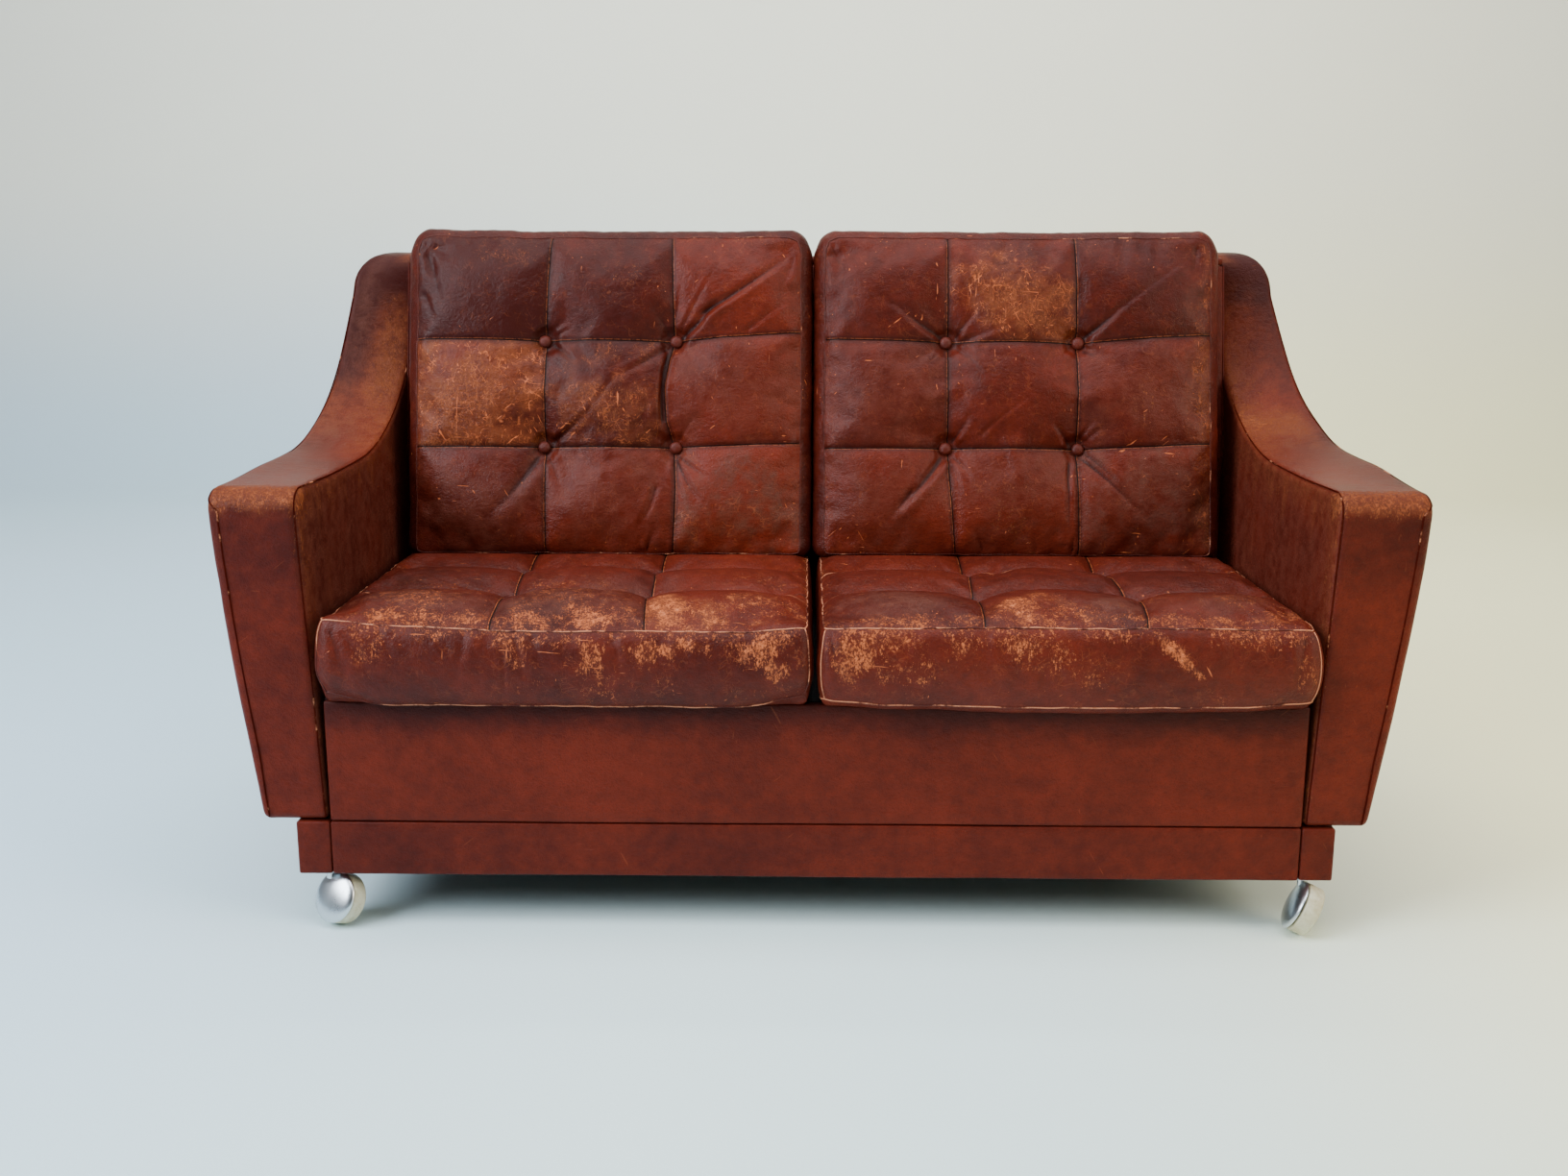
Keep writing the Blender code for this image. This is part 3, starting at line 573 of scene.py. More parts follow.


# ---------------------------------------------------------------- how each cushion has aged

# Lengths are in millimetres, and panels are counted 0 to 8 from the upper left.
# seams: how far each flat seam strays, as (distance along it, offset); front_edge: how far the
# front edge has sunk, in the same way. sink: of the buttons. lift: of the front corners of the
# face and of the base. bulge: of the ends before the left and the right arm. belly: how far the
# base hangs at the front. corners: radius at the front or lower end, then the other. swell: of
# the sides, the front or lower end, the other end. sag: how far the other end draws in. cap: the
# most that filling may move the cover. folds and front_folds: see folded(). wear, fade and the
# grey of grime and painted sheen on the face, front_wear on the front: see patches(), with a
# panel's number where a patch stops at the seams. tones: of the panels, with side_tone round the
# sides. edge and welt: how worn the face's edge and its piping are. base_seam: which row of the
# mesh carries the lower piping.
LOOKS = {
    "back_cushion_left": {
        "seams": {
            "inner": [(-236, 1), (-79, 0), (79, 0), (236, 8)],
            "outer": [(-236, -1), (-140, 3), (-79, 0), (-40, -11), (10, -14), (50, -7), (79, 0), (236, -4)],
            "lower": [(-293, 0), (98, 0), (293, 7)],
            "upper": [(-293, 2), (98, 0), (200, 7), (293, 14)],
        },
        "corners": (10, 24), "swell": (9, 4, 16), "sag": 3, "cap": 9,
        "folds": [
            (101, 76, 172, 146, -4, 6.0, 5.5, -1), (140, 118, 279, 212, -4, 4.5, 5.0, -1),
            (104, 84, 177, 212, 0, 1.3, 3.0, 1), (101, 84, 118, 190, 3, 1.0, 3.0, 1),
            (97, 84, 66, 136, 0, 2.0, 7.0, 0), (209, 93, 282, 145, 2, 1.5, 4.0, -1),
            (95, 72, 10, 22, 2, 2.4, 4.0, -1), (-89, -76, -20, -20, -2, 2.4, 4.0, 1),
            (12, 24, -30, -30, 0, 1.0, 4.0, 0), (95, 68, 85, -46, -6, 4.5, 4.0, 1),
            (85, -46, 95, 68, 6, 3.0, 4.0, 1), (-89, 92, -62, 115, 0, 1.5, 5.0, 0),
            (-88, 76, -47, 43, 2, 3.2, 3.5, 1), (-103, -90, -188, -186, 6, 3.6, 9.0, 1),
            (-92, -92, -70, -143, 3, 2.4, 4.5, 1), (105, -88, 160, -127, -3, 2.6, 4.0, 1),
            (104, -92, 144, -163, -4, 3.2, 4.5, 1), (102, -94, 122, -170, -3, 2.2, 4.0, 1),
            (75, -135, 47, -199, 3, 2.2, 5.0, -1), (60, -232, 74, -200, 2, 2.4, 3.5, 1),
            (52, -233, 47, -205, 0, 1.6, 3.0, 1), (-281, 210, -255, 120, 6, 2.2, 6.0, 1),
            (-286, 150, -262, 100, 3, 1.6, 5.0, 1), (-270, 222, -238, 196, 2, 1.4, 5.0, 1),
            (60, -10, 30, -62, 6, 1.4, 6.0, 1), (282, 205, 262, 160, 2, 1.4, 4.0, 1),
        ],
        "wear": [
            (-215, 4, 100, 90, 0, 0.62, 3), (-240, -74, 90, 14, 0, 0.8, 3),
            (0, -20, 96, 66, -25, 0.42, 4), (20, 60, 70, 20, 10, 0.35, 4),
            (-150, 205, 60, 20, 0, 0.22, 0), (30, 170, 70, 50, 0, 0.16, 1),
        ],
        "dull": [
            (0, -10, 90, 70, 0, 0.35), (190, -160, 150, 120, 0, 0.95, 8),
            (190, 0, 130, 110, 0, 0.45, 5), (-190, -160, 150, 120, 0, 0.60, 6),
            (0, -160, 130, 110, 0, 0.50, 7),
        ],
        "fade": [
            (-190, 4, 260, 200, 0, 0.80, 3), (0, -20, 110, 70, -25, 0.35, 4),
            (180, -190, 90, 50, 0, 0.2, 8),
        ],
        "tones": ((-0.95, -0.35, 0.10), (-0.20, -0.30, 0.15), (-0.10, 0.20, 0.80)),
        "side_tone": -0.5, "edge": 0.22, "welt": 0.22,
    },
    "back_cushion_right": {
        "seams": {
            "inner": [(-236, 13), (-110, 2), (-79, 0), (79, 0), (236, -1)],
            "outer": [(-236, 4), (-150, 2), (-79, 0), (79, 0), (236, -4)],
            "lower": [(-293, 0), (98, 0), (200, 4), (293, 9)],
            "upper": [(-293, 4), (-98, 0), (98, 0), (200, 6), (293, 12)],
        },
        "corners": (10, 24), "swell": (9, 4, 16), "sag": 3, "cap": 9,
        "folds": [
            (-108, 82, -191, 137, 3, 4.2, 5.0, 1), (-170, 125, -245, 165, 2, 1.2, 4.0, 0),
            (-96, 84, -62, 127, 2, 2.6, 4.0, -1), (-92, 80, -28, 102, -2, 2.2, 4.0, -1),
            (-94, 70, -49, 24, 2, 2.2, 3.0, 1), (95, 83, 156, 134, -2, 4.4, 5.0, -1),
            (140, 120, 275, 215, 2, 1.2, 4.0, -1), (97, 68, 128, 53, 0, 2.6, 7.0, 1),
            (-113, -88, -183, -169, 4, 5.4, 6.0, 1), (-160, -140, -204, -190, 2, 2.6, 6.0, 1),
            (-102, -72, -70, -26, 0, 2.8, 4.0, -1), (-60, -62, 22, 3, 2, 1.1, 3.0, -1),
            (-100, -90, -70, -126, 2, 2.4, 3.5, 1), (-104, -94, -84, -150, 2, 1.6, 3.0, 1),
            (93, -90, 192, -181, 2, 3.6, 3.5, 1), (100, -84, 176, -156, 2, 3.0, 3.5, 1),
            (80, -74, 50, -40, -1, 3.2, 4.0, 1), (92, -73, 128, -47, 1, 2.2, 3.5, -1),
            (90, -70, 115, -35, 1, 2.0, 3.5, -1), (80, -95, 80, -215, -5, 3.6, 3.5, 1),
            (-52, -230, -62, -196, 1, 2.0, 3.5, 1), (84, -232, 84, -200, 0, 2.4, 3.5, 1),
            (-291, 208, -255, 204, 2, 1.8, 5.0, 1), (-285, 222, -262, 170, 3, 1.6, 5.0, 1),
            (272, 222, 262, 180, 2, 1.4, 4.0, 1), (30, -232, 24, -206, 0, 1.2, 3.5, 1),
        ],
        "wear": [
            (10, 140, 90, 60, -12, 0.62, 1), (40, 110, 60, 30, 0, 0.6, 1),
            (-20, 30, 60, 50, 0, 0.14, 4), (190, -10, 40, 60, 0, 0.18, 5),
            (-10, -160, 60, 60, 0, 0.16, 7), (280, 10, 20, 200, 0, 0.35),
        ],
        "dull": [
            (190, -160, 150, 120, 0, 0.95, 8), (190, 0, 130, 110, 0, 0.45, 5),
            (0, -160, 130, 110, 0, 0.50, 7), (-190, -160, 130, 110, 0, 0.50, 6),
            (-190, 0, 130, 110, 0, 0.40, 3),
        ],
        "fade": [
            (10, 140, 130, 80, -12, 0.75, 1), (60, 110, 60, 50, 0, 0.55, 1),
            (280, -20, 30, 220, 0, 0.3),
        ],
        "tones": ((-0.25, -0.10, -0.35), (-0.10, 0.0, -0.05), (0.15, 0.20, 0.15)),
        "side_tone": -0.3, "edge": 0.25, "welt": 0.22,
    },
    "seat_cushion_left": {
        "seams": {
            "inner": [(-257, 9), (-145, 9), (0, 6), (71, -2), (250, -2)],
            "outer": [(-257, -1), (-140, -8), (0, -10), (132, -11), (250, -11)],
        },
        "front_edge": [(-290, 0), (-210, -1), (-151, -4), (-89, -8), (24, -8), (83, -7), (290, -7)],
        "sink": 14, "lift": (6, 19), "bulge": (5, 2), "belly": 0,
        "corners": (12, 12), "swell": (6, 15, 0), "sag": 0, "cap": 8,
        "folds": [
            (-108, -82, -250, -60, 7, 2.0, 4.5, -1), (-110, -76, -215, -28, 8, 1.8, 4.5, -1),
            (-108, -94, -215, -120, -7, 1.6, 4.5, 1), (-84, -84, 30, -66, -8, 1.8, 4.5, 1),
            (-84, -94, 10, -124, 8, 1.5, 4.5, -1), (80, -92, -10, -120, -6, 1.5, 4.5, 1),
            (100, -84, 240, -58, -9, 2.0, 4.5, 1), (100, -94, 226, -126, 8, 1.6, 4.5, -1),
            (-106, 78, -240, 52, -8, 1.6, 4.5, 1), (-84, 78, 20, 60, 6, 1.4, 4.5, -1),
            (-285, -170, -250, -80, -8, 2.0, 6.0, 1), (-240, -250, -215, -205, 2, 1.3, 4.0, 1),
            (60, -252, 84, -200, 2, 1.2, 4.0, 1), (288, -120, 240, -30, 6, 1.8, 6.0, 1),
        ],
        "front_folds": [
            (-72, -28, -72, -86, 1, 1.6, 2.2, 0), (-72, -60, -74, -96, 0, 1.4, 2.2, 0),
            (-285, -8, -268, -88, 5, 2.4, 7.0, 1), (-272, -12, -232, -70, 5, 1.6, 6.0, 1),
            (-225, -6, -205, -52, 3, 1.4, 5.0, 1), (-120, -6, -135, -60, 3, 1.6, 5.0, 1),
            (-60, -8, -48, -58, 2, 1.8, 5.0, 1), (-40, -6, -26, -46, 2, 1.6, 4.5, 1),
            (60, -6, 70, -60, 2, 1.4, 5.0, 1), (150, -6, 140, -56, 2, 1.2, 5.0, 1),
            (285, -10, 270, -70, 4, 1.8, 6.0, -1), (200, -96, 235, -70, 2, 1.4, 5.0, 1),
        ],
        "wear": [
            (150, -222, 76, 44, 0, 1.0, 8), (220, -200, 70, 40, 0, 0.5, 8),
            (-220, -238, 40, 22, 0, 0.75), (-40, -240, 100, 24, 0, 0.70), (35, -238, 60, 26, 0, 0.85),
            (-120, -242, 170, 20, 0, 0.6), (-180, -190, 80, 46, 0, 0.40), (0, -180, 90, 50, 0, 0.34),
            (-30, -60, 70, 26, 0, 0.30), (60, -150, 40, 50, 0, 0.30), (240, -40, 60, 30, 0, 0.24),
            (-200, -60, 60, 24, 0, 0.26),
        ],
        "front_wear": [
            (-238, -16, 29, 32, 0, 0.44), (-157, -8, 32, 11, 0, 0.47), (-61, -12, 37, 16, 0, 0.59),
            (-52, -40, 16, 11, 0, 0.43), (34, -34, 22, 30, 0, 0.80), (6, -10, 36, 10, 0, 0.50),
            (95, -22, 22, 24, 0, 0.62), (149, -16, 32, 20, 0, 0.80), (245, -24, 46, 28, 0, 0.84),
            (258, -46, 22, 26, 0, 0.78), (130, -4, 136, 8, 0, 0.50), (-110, -4, 96, 6, 0, 0.28),
            (45, -80, 26, 14, 0, 0.22), (245, -84, 50, 14, 0, 0.30), (60, -60, 184, 40, 0, 0.10),
        ],
        "fade": [(140, -222, 80, 46, 0, 1.0, 8)],
        "dull": [(-60, -210, 260, 46, 0, 0.75), (0, -160, 110, 60, 0, 0.6), (40, -60, 90, 30, 0, 0.4)],
        "tones": ((-0.15, -0.10, 0.05), (-0.25, -0.25, 0.05), (-0.20, -0.40, 0.15)),
        "side_tone": -0.25, "edge": 0.55, "welt": 0.56,
    },
    "seat_cushion_right": {
        "seams": {
            "inner": [(-257, -2), (-129, 0), (41, 6), (136, 5), (250, 5)],
            "outer": [(-257, -4), (-125, 8), (-37, 3), (58, -8), (149, -5), (250, -5)],
        },
        "front_edge": [(-290, -2), (-200, -1), (-100, 0), (100, 0), (290, -1)],
        "sink": 12, "lift": (0, 5), "bulge": (2, 10), "belly": 8,
        "corners": (12, 12), "swell": (6, 15, 0), "sag": 0, "cap": 8,
        "folds": [
            (-110, -82, -270, -52, 10, 2.0, 4.5, -1), (-108, -94, -250, -128, -8, 1.8, 4.5, 1),
            (-84, -84, 20, -62, -8, 1.8, 4.5, 1), (-84, -94, 20, -122, 8, 1.6, 4.5, -1),
            (84, -86, -10, -66, 8, 1.6, 4.5, -1), (104, -84, 250, -50, -8, 1.8, 4.5, 1),
            (104, -94, 236, -128, 8, 1.5, 4.5, -1), (106, 78, 210, 70, 5, 1.4, 4.5, -1),
            (-106, 78, -220, 60, -6, 1.4, 4.5, 1), (-285, -120, -262, -60, -5, 2.2, 5.0, 1),
            (285, -150, 262, -70, 6, 2.0, 6.0, -1), (270, -230, 236, -160, 4, 1.4, 5.0, 1),
        ],
        "front_folds": [
            (-290, -10, -282, -86, 3, 2.2, 6.0, 1), (-100, -6, -104, -50, 2, 1.2, 5.0, 1),
            (-10, -50, -4, -96, 1, 1.2, 4.0, 1), (-30, -40, -34, -90, 1, 1.0, 4.0, 0),
            (80, -6, 86, -44, 1, 1.2, 4.0, 1), (286, -8, 280, -84, -4, 2.4, 6.0, -1),
            (250, -6, 262, -60, 3, 1.6, 5.0, 1), (190, -8, 205, -60, 2, 1.2, 5.0, 1),
        ],
        "wear": [
            (-62, -222, 54, 40, 0, 0.80, 7), (0, -232, 70, 22, 0, 0.55, 7),
            (150, -244, 140, 16, 0, 0.5), (-200, -246, 100, 14, 0, 0.5), (-40, -246, 110, 12, 0, 0.6),
            (120, -150, 50, 40, 0, 0.30), (200, -180, 70, 44, 0, 0.28), (-200, -120, 70, 26, 0, 0.30),
            (270, -222, 30, 30, 0, 0.5),
        ],
        "front_wear": [
            (-262, -30, 32, 38, 0, 0.84), (-226, -14, 52, 20, 0, 0.64), (-132, -26, 33, 28, 0, 0.66),
            (-60, -18, 72, 24, 0, 0.59), (-20, -36, 21, 27, 0, 0.59), (60, -8, 64, 11, 0, 0.44),
            (118, -16, 30, 9, -46, 0.75), (148, -44, 56, 10, -50, 0.92), (215, -9, 56, 13, 0, 0.59),
            (270, -12, 24, 14, 0, 0.57), (-196, -50, 60, 24, 0, 0.32), (20, -52, 48, 28, 0, 0.20),
            (284, -60, 10, 35, 0, 0.47),
        ],
        "fade": [(-62, -222, 60, 44, 0, 0.5, 7)],
        "dull": [(-200, -205, 90, 50, 0, 0.8), (52, -214, 44, 44, 0, 0.9), (190, -205, 90, 50, 0, 0.5)],
        "tones": ((-0.05, -0.05, 0.0), (-0.15, -0.15, -0.05), (-0.25, -0.20, -0.05)),
        "side_tone": -0.05, "edge": 0.50, "welt": 0.54, "base_seam": 3,
    },
}


# ---------------------------------------------------------------- cushions

FILL_FRAMES = 20
BACK_FOLDS_DEEPER = 1.35
PLEAT_FROM = 9  # millimetres from a button's middle


class Cushion:
    """Where one cushion lies, how big it is, and where its buttons pull, all from the frame."""

    def __init__(self, kind, word):
        self.kind, self.word = kind, word
        self.name = f"{kind}_cushion_{word}"
        self.nodes = {(row, column): f"{kind}_button_{word}_{row}_{column}"
                      for row in ("lower", "upper") for column in ("inner", "outer")}
        middles = {key: sum(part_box(name), Vector()) / 2 for key, name in self.nodes.items()}
        low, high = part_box(self.name)
        upright = (middles["upper", "inner"] - middles["lower", "inner"])
        across = middles["lower", "outer"] - middles["lower", "inner"]
        self.width, self.length = 3 * across.length, 3 * upright.length
        centre = sum(middles.values(), Vector()) / 4
        centre.x = (low.x + high.x) / 2
        across, upright = Vector((1, 0, 0)), upright.normalized()
        if kind == "seat":
            upright = Vector((0, 1, 0))
            self.thick = sizes().seat_thick
            centre.z = low.z + self.thick
        normal = across.cross(upright)
        if kind == "back":
            self.thick = sizes().back_thick
            centre -= normal * sizes().button_rise
        turn = Matrix((across, upright, normal)).transposed()
        self.place = Matrix.Translation(centre) @ turn.to_4x4()
        inverse = self.place.inverted()
        sink = Vector((0, 0, -LOOKS[self.name].get("sink", 0) * MM))
        self.tufts = {key: inverse @ middle + sink for key, middle in middles.items()}
        self.half = np.array((self.width / 2, self.length / 2))

    def column(self, name, y):
        """Where a lengthwise seam crosses, at a distance along the cushion."""
        ends = [self.tufts[row, name] for row in ("lower", "upper")]
        line = ends[0].x + (y - ends[0].y) * (ends[1].x - ends[0].x) / (ends[1].y - ends[0].y)
        return line + stray(y, LOOKS[self.name]["seams"].get(name))

    def row(self, name, x):
        """How far along the cushion a crosswise seam lies."""
        ends = [self.tufts[name, column] for column in ("inner", "outer")]
        line = ends[0].y + (x - ends[0].x) * (ends[1].y - ends[0].y) / (ends[1].x - ends[0].x)
        return line + stray(x, LOOKS[self.name]["seams"].get(name))

    def seam_offsets(self, x, y):
        """Signed distances from the lengthwise and the crosswise seams, true close to each."""
        inner, outer = self.column("inner", y), self.column("outer", y)
        lower, upper = self.row("lower", x), self.row("upper", x)
        return (x - inner) * (x - outer) / (outer - inner), (y - lower) * (y - upper) / (upper - lower)

    def button_distance(self, x, y):
        return np.min([np.hypot(x - tuft.x, y - tuft.y) for tuft in self.tufts.values()], axis=0)


def stray(along, path):
    """How far a seam strays sideways, from a list of (distance along, offset) in millimetres."""
    if not path:
        return 0.0
    places, offsets = zip(*path)
    return np.interp(along / MM, places, offsets) * MM


def rim_distance(cushion, x, y):
    return np.minimum(cushion.half[0] - np.abs(x), cushion.half[1] - np.abs(y))


def padded_height(cushion, x, y):
    """Height of the face over its seams before the finer folds: crowned, puffed and buttoned."""
    u, v = np.abs(x) / cushion.half[0], np.abs(y) / cushion.half[1]
    crown = np.clip((1 - u**3) * (1 - v**3), 0, 1)
    over, along = cushion.seam_offsets(x, y)
    over, along = np.abs(over), np.abs(along)
    button = cushion.button_distance(x, y)
    edge = smoothstep(rim_distance(cushion, x, y), 0.0, 0.045)
    pull = np.exp(-((button / 0.055) ** 2))
    if cushion.kind == "back":
        height = 0.0225 * crown**0.6 + 0.0015
        seam = 0.0046 * (0.32 + 0.68 * pull) * np.exp(-((np.minimum(over, along) / 0.012) ** 1.3))
        dimple = 0.0125 * np.exp(-((button / 0.028) ** 1.15)) + 0.0045 * np.exp(-((button / 0.07) ** 2))
        return height - (seam + dimple) * edge - 0.0015
    t = y / cushion.length + 0.5
    height = -0.006 * t + (0.0225 - 0.0085 * t) * crown**0.5
    front_roll = 0.0035 * smoothstep(-y, 0.10, 0.20) * smoothstep(crown, 0.0, 0.5)
    valley = 0.0185 * (1 - np.clip(along / 0.075, 0, 1)) ** 2.2
    column = 0.0110 * (1 - np.clip(over / 0.050, 0, 1)) ** 2.2
    column *= 0.35 + 0.65 * np.exp(-((button / 0.08) ** 2))
    dimple = 0.0100 * np.exp(-((button / 0.030) ** 1.2)) + 0.0085 * np.exp(-((button / 0.065) ** 2))
    return height + front_roll - (np.maximum(valley, column) + dimple) * edge + front_drop(cushion, x, y)


def front_drop(cushion, x, y):
    """How far the front edge of a seat cushion's face has sunk between its corners."""
    near_front = smoothstep(-y, cushion.half[1] - 0.11, cushion.half[1])
    return stray(x, LOOKS[cushion.name]["front_edge"]) * near_front


def rounded_outline(cushion, x, y):
    """Rounds the four corners of a cushion seen square on to its face."""
    x, y = x.copy(), y.copy()
    for side, end in itertools.product((-1, 1), repeat=2):
        radius = LOOKS[cushion.name]["corners"][0 if end < 0 else 1] * MM
        over_x = (x * side - (cushion.half[0] - radius)) / radius
        over_y = (y * end - (cushion.half[1] - radius)) / radius
        here = (over_x > 0) & (over_y > 0)
        scale = np.maximum(over_x, over_y)[here] / np.hypot(over_x, over_y)[here]
        x[here] = side * (cushion.half[0] - radius + over_x[here] * scale * radius)
        y[here] = end * (cushion.half[1] - radius + over_y[here] * scale * radius)
    return x, y


def cushion_form(cushion, grid):
    """Where each point of the block goes: its face is padded and its sides swell."""
    x, y, depth = grid[:, 0], grid[:, 1], -grid[:, 2]
    down = depth / cushion.thick
    face, base = down < 1e-4, down > 1 - 1e-4
    on_side = np.abs(np.abs(x) - cushion.half[0]) < 1e-5
    on_end = np.abs(np.abs(y) - cushion.half[1]) < 1e-5
    rim = np.zeros(len(x))
    if cushion.kind == "seat":
        rim = -0.006 * (y / cushion.length + 0.5) + front_drop(cushion, x, y)
    height = rim * (1 - down) - depth
    height[face] = padded_height(cushion, x[face], y[face])
    out = np.sin(np.pi * np.clip(down, 0, 1)) ** 0.6
    side_swell, front_swell, end_swell = LOOKS[cushion.name]["swell"]
    turned_x = np.where(on_side, np.sign(x), 0.0)
    turned_y = np.where(on_end, np.sign(y), 0.0)
    both = np.maximum(np.hypot(turned_x, turned_y), 1)
    plan_x, plan_y = rounded_outline(cushion, x, y)
    if cushion.kind == "seat":
        # The ends bulge where they stand before the arms
        ahead = 1 - smoothstep(y + cushion.half[1], 0.012, 0.030)
        side_swell = side_swell + ahead * np.where(x < 0, *LOOKS[cushion.name]["bulge"])
    else:
        out = np.sin(np.pi * np.clip(down, 0, 1) ** 0.65) ** 0.6
        plan_x -= 8 * MM * plan_x / cushion.half[0] * (1 - smoothstep(down, 0.0, 0.2))
    plan_x = plan_x + out * turned_x / both * side_swell * MM
    plan_y = plan_y + out * turned_y / both * np.where(y > 0, end_swell, front_swell) * MM
    if cushion.kind == "seat":
        reach = np.where(base, 0.012, 0.06)
        near_front = smoothstep(-y, cushion.half[1] - reach, cushion.half[1])
        corner = smoothstep(np.abs(x) / cushion.half[0], 0.72, 1.0)
        face_lift, base_lift = LOOKS[cushion.name]["lift"]
        rise = base_lift * smoothstep(down, 0.45, 1.0) + face_lift * (1 - smoothstep(down, 0.0, 0.6))
        height = height + rise * MM * corner * near_front
        overhang = smoothstep(-y, cushion.half[1] - 0.016, cushion.half[1] - 0.004)
        overhang *= smoothstep(down, 0.86, 1.0)
        belly = LOOKS[cushion.name]["belly"] * MM * bump_at(x, 0.01, 0.17) * overhang
    # The outline draws in a little between its corners
    sag = LOOKS[cushion.name]["sag"] * MM
    drawn_in = sag * (1 - (x / cushion.half[0]) ** 2) * (y / cushion.half[1])
    plan_y = np.where(y > 0, plan_y - drawn_in, plan_y)
    height[base] = np.maximum(height[base], -cushion.thick)
    if cushion.kind == "seat":
        height -= belly
    return np.stack([plan_x, plan_y, height], axis=1)


def cushion_block(cushion):
    """A closed block of near-square cells, with its face at z = 0 and its base below."""
    cell = 2 * sizes().cell
    wide, long, deep = (round(size / cell) for size in (cushion.width, cushion.length, cushion.thick))
    made = bmesh.new()
    bmesh.ops.create_grid(made, x_segments=wide, y_segments=long, size=0.5)
    bmesh.ops.scale(made, vec=(cushion.width, cushion.length, 1), verts=made.verts)
    copied = bmesh.ops.extrude_face_region(made, geom=made.faces[:], use_keep_orig=True)["geom"]
    bmesh.ops.translate(made, vec=(0, 0, -cushion.thick), verts=verts_of(copied))
    uprights = [edge for edge in made.edges
                if abs(edge.verts[0].co.z - edge.verts[1].co.z) > cushion.thick / 2]
    bmesh.ops.subdivide_edges(made, edges=uprights, cuts=deep - 1, use_grid_fill=True)
    bmesh.ops.recalc_face_normals(made, faces=made.faces)
    mesh = bpy.data.meshes.new(cushion.name + "_cover")
    made.to_mesh(mesh)
    made.free()
    return mesh


def hold_weights(cushion, grid):
    """How firmly each point is held while a cushion fills: 1 at seams, buttons and base."""
    x, y, depth = grid[:, 0], grid[:, 1], -grid[:, 2]
    over, along = cushion.seam_offsets(x, y)
    seam = np.exp(-((np.minimum(np.abs(over), np.abs(along)) / 0.008) ** 2))
    pull = np.exp(-((cushion.button_distance(x, y) / 0.05) ** 2))
    least = 0.75 if cushion.kind == "seat" else 0.45
    held = seam * (least + (1 - least) * pull)
    held = np.where(cushion.button_distance(x, y) < 0.016, 1.0, held)
    held = np.where(rim_distance(cushion, x, y) < 1e-4, 1.0, held)
    held = np.where((depth > 1e-4) & (depth < cushion.thick * 0.9), 0.75, held)
    return np.where(depth >= cushion.thick * 0.9, 1.0, held)


def fill_cushion(obj, cushion, grid):
    """Blows the cover up as cloth held along its seams, and keeps the settled shape."""
    weights = np.round(hold_weights(cushion, grid) * 20) / 20
    group = obj.vertex_groups.new(name="held")
    for weight in np.unique(weights):
        group.add(np.nonzero(weights == weight)[0].tolist(), float(weight), "REPLACE")
    before = read(obj.data)
    cloth = obj.modifiers.new("Cloth", "CLOTH")
    settings = cloth.settings
    settings.quality = 6
    settings.mass = 0.35
    settings.tension_stiffness = settings.compression_stiffness = 30
    settings.shear_stiffness = 12
    settings.bending_stiffness = 0.6
    settings.use_pressure = True
    settings.uniform_pressure_force = 4
    settings.shrink_min = -0.018
    settings.vertex_group_mass = "held"
    settings.effector_weights.gravity = 0
    cloth.collision_settings.use_collision = False
    cloth.point_cache.frame_start, cloth.point_cache.frame_end = 1, FILL_FRAMES
    scene = bpy.context.scene
    for step in range(1, FILL_FRAMES + 1):
        scene.frame_set(step)
    mesh = shaped(obj)
    after = read(mesh)
    bpy.data.meshes.remove(mesh)
    obj.modifiers.remove(cloth)
    scene.frame_set(1)
    move = after - before
    far = np.linalg.norm(move, axis=1, keepdims=True)
    most = LOOKS[cushion.name]["cap"] * MM
    write(obj.data, before + move * np.minimum(1, most / np.maximum(far, 1e-9)))


def fold_path(fold):
    """Points along one fold: (x, y) to (x, y) in millimetres, bowed sideways at its middle."""
    start, end = np.array(fold[0:2]) * MM, np.array(fold[2:4]) * MM
    t = np.linspace(0, 1, 15)[:, None]
    side = np.array((start[1] - end[1], end[0] - start[0])) / np.linalg.norm(end - start)
    return start + (end - start) * t + side * fold[4] * MM * 4 * t * (1 - t)


def folded(x, y, folds):
    """Relief, painted shade in the creases, and rubbed ridges of a list of folds: (x, y, x, y, bow,
    depth, half width, side of its raised lip), all in millimetres but the side, which is -1, 0 or 1."""
    relief, crease, ridge = np.zeros(len(x)), np.zeros(len(x)), np.zeros(len(x))
    for fold in folds:
        depth, width, lip = fold[5] * MM, fold[6] * MM, fold[7]
        path = fold_path(fold)
        low, high = path.min(axis=0) - 5 * width, path.max(axis=0) + 5 * width
        near = np.nonzero((x > low[0]) & (x < high[0]) & (y > low[1]) & (y < high[1]))[0]
        place = np.stack([x[near], y[near]], axis=1)
        best = np.full(len(near), 1e9)
        along, signed = np.zeros(len(near)), np.zeros(len(near))
        for index in range(len(path) - 1):
            here, step = path[index], path[index + 1] - path[index]
            part = np.clip((place - here) @ step / (step @ step), 0, 1)
            gap = place - here - part[:, None] * step
            distance = np.hypot(gap[:, 0], gap[:, 1])
            closer = distance < best
            turn = step[0] * gap[:, 1] - step[1] * gap[:, 0]
            best = np.where(closer, distance, best)
            along = np.where(closer, (index + part) / (len(path) - 1), along)
            signed = np.where(closer, np.sign(turn) * distance, signed)
        force = smoothstep(along, -0.04, 0.08) * (1 - along) ** 0.75
        relief[near] -= depth * force * np.exp(-((best / width) ** 2))
        if lip:
            beside = np.exp(-(((signed * lip - 2.0 * width) / (1.3 * width)) ** 2))
            relief[near] += 0.5 * depth * force * beside
            ridge[near] = np.maximum(ridge[near], force * beside * min(1, fold[5] / 3))
        # Painted shade along the valley of the fold
        dark = np.exp(-((best / (0.5 * width)) ** 2)) * force * min(1.0, fold[5] / 4)
        crease[near] = np.maximum(crease[near], dark)
    return relief, crease, ridge


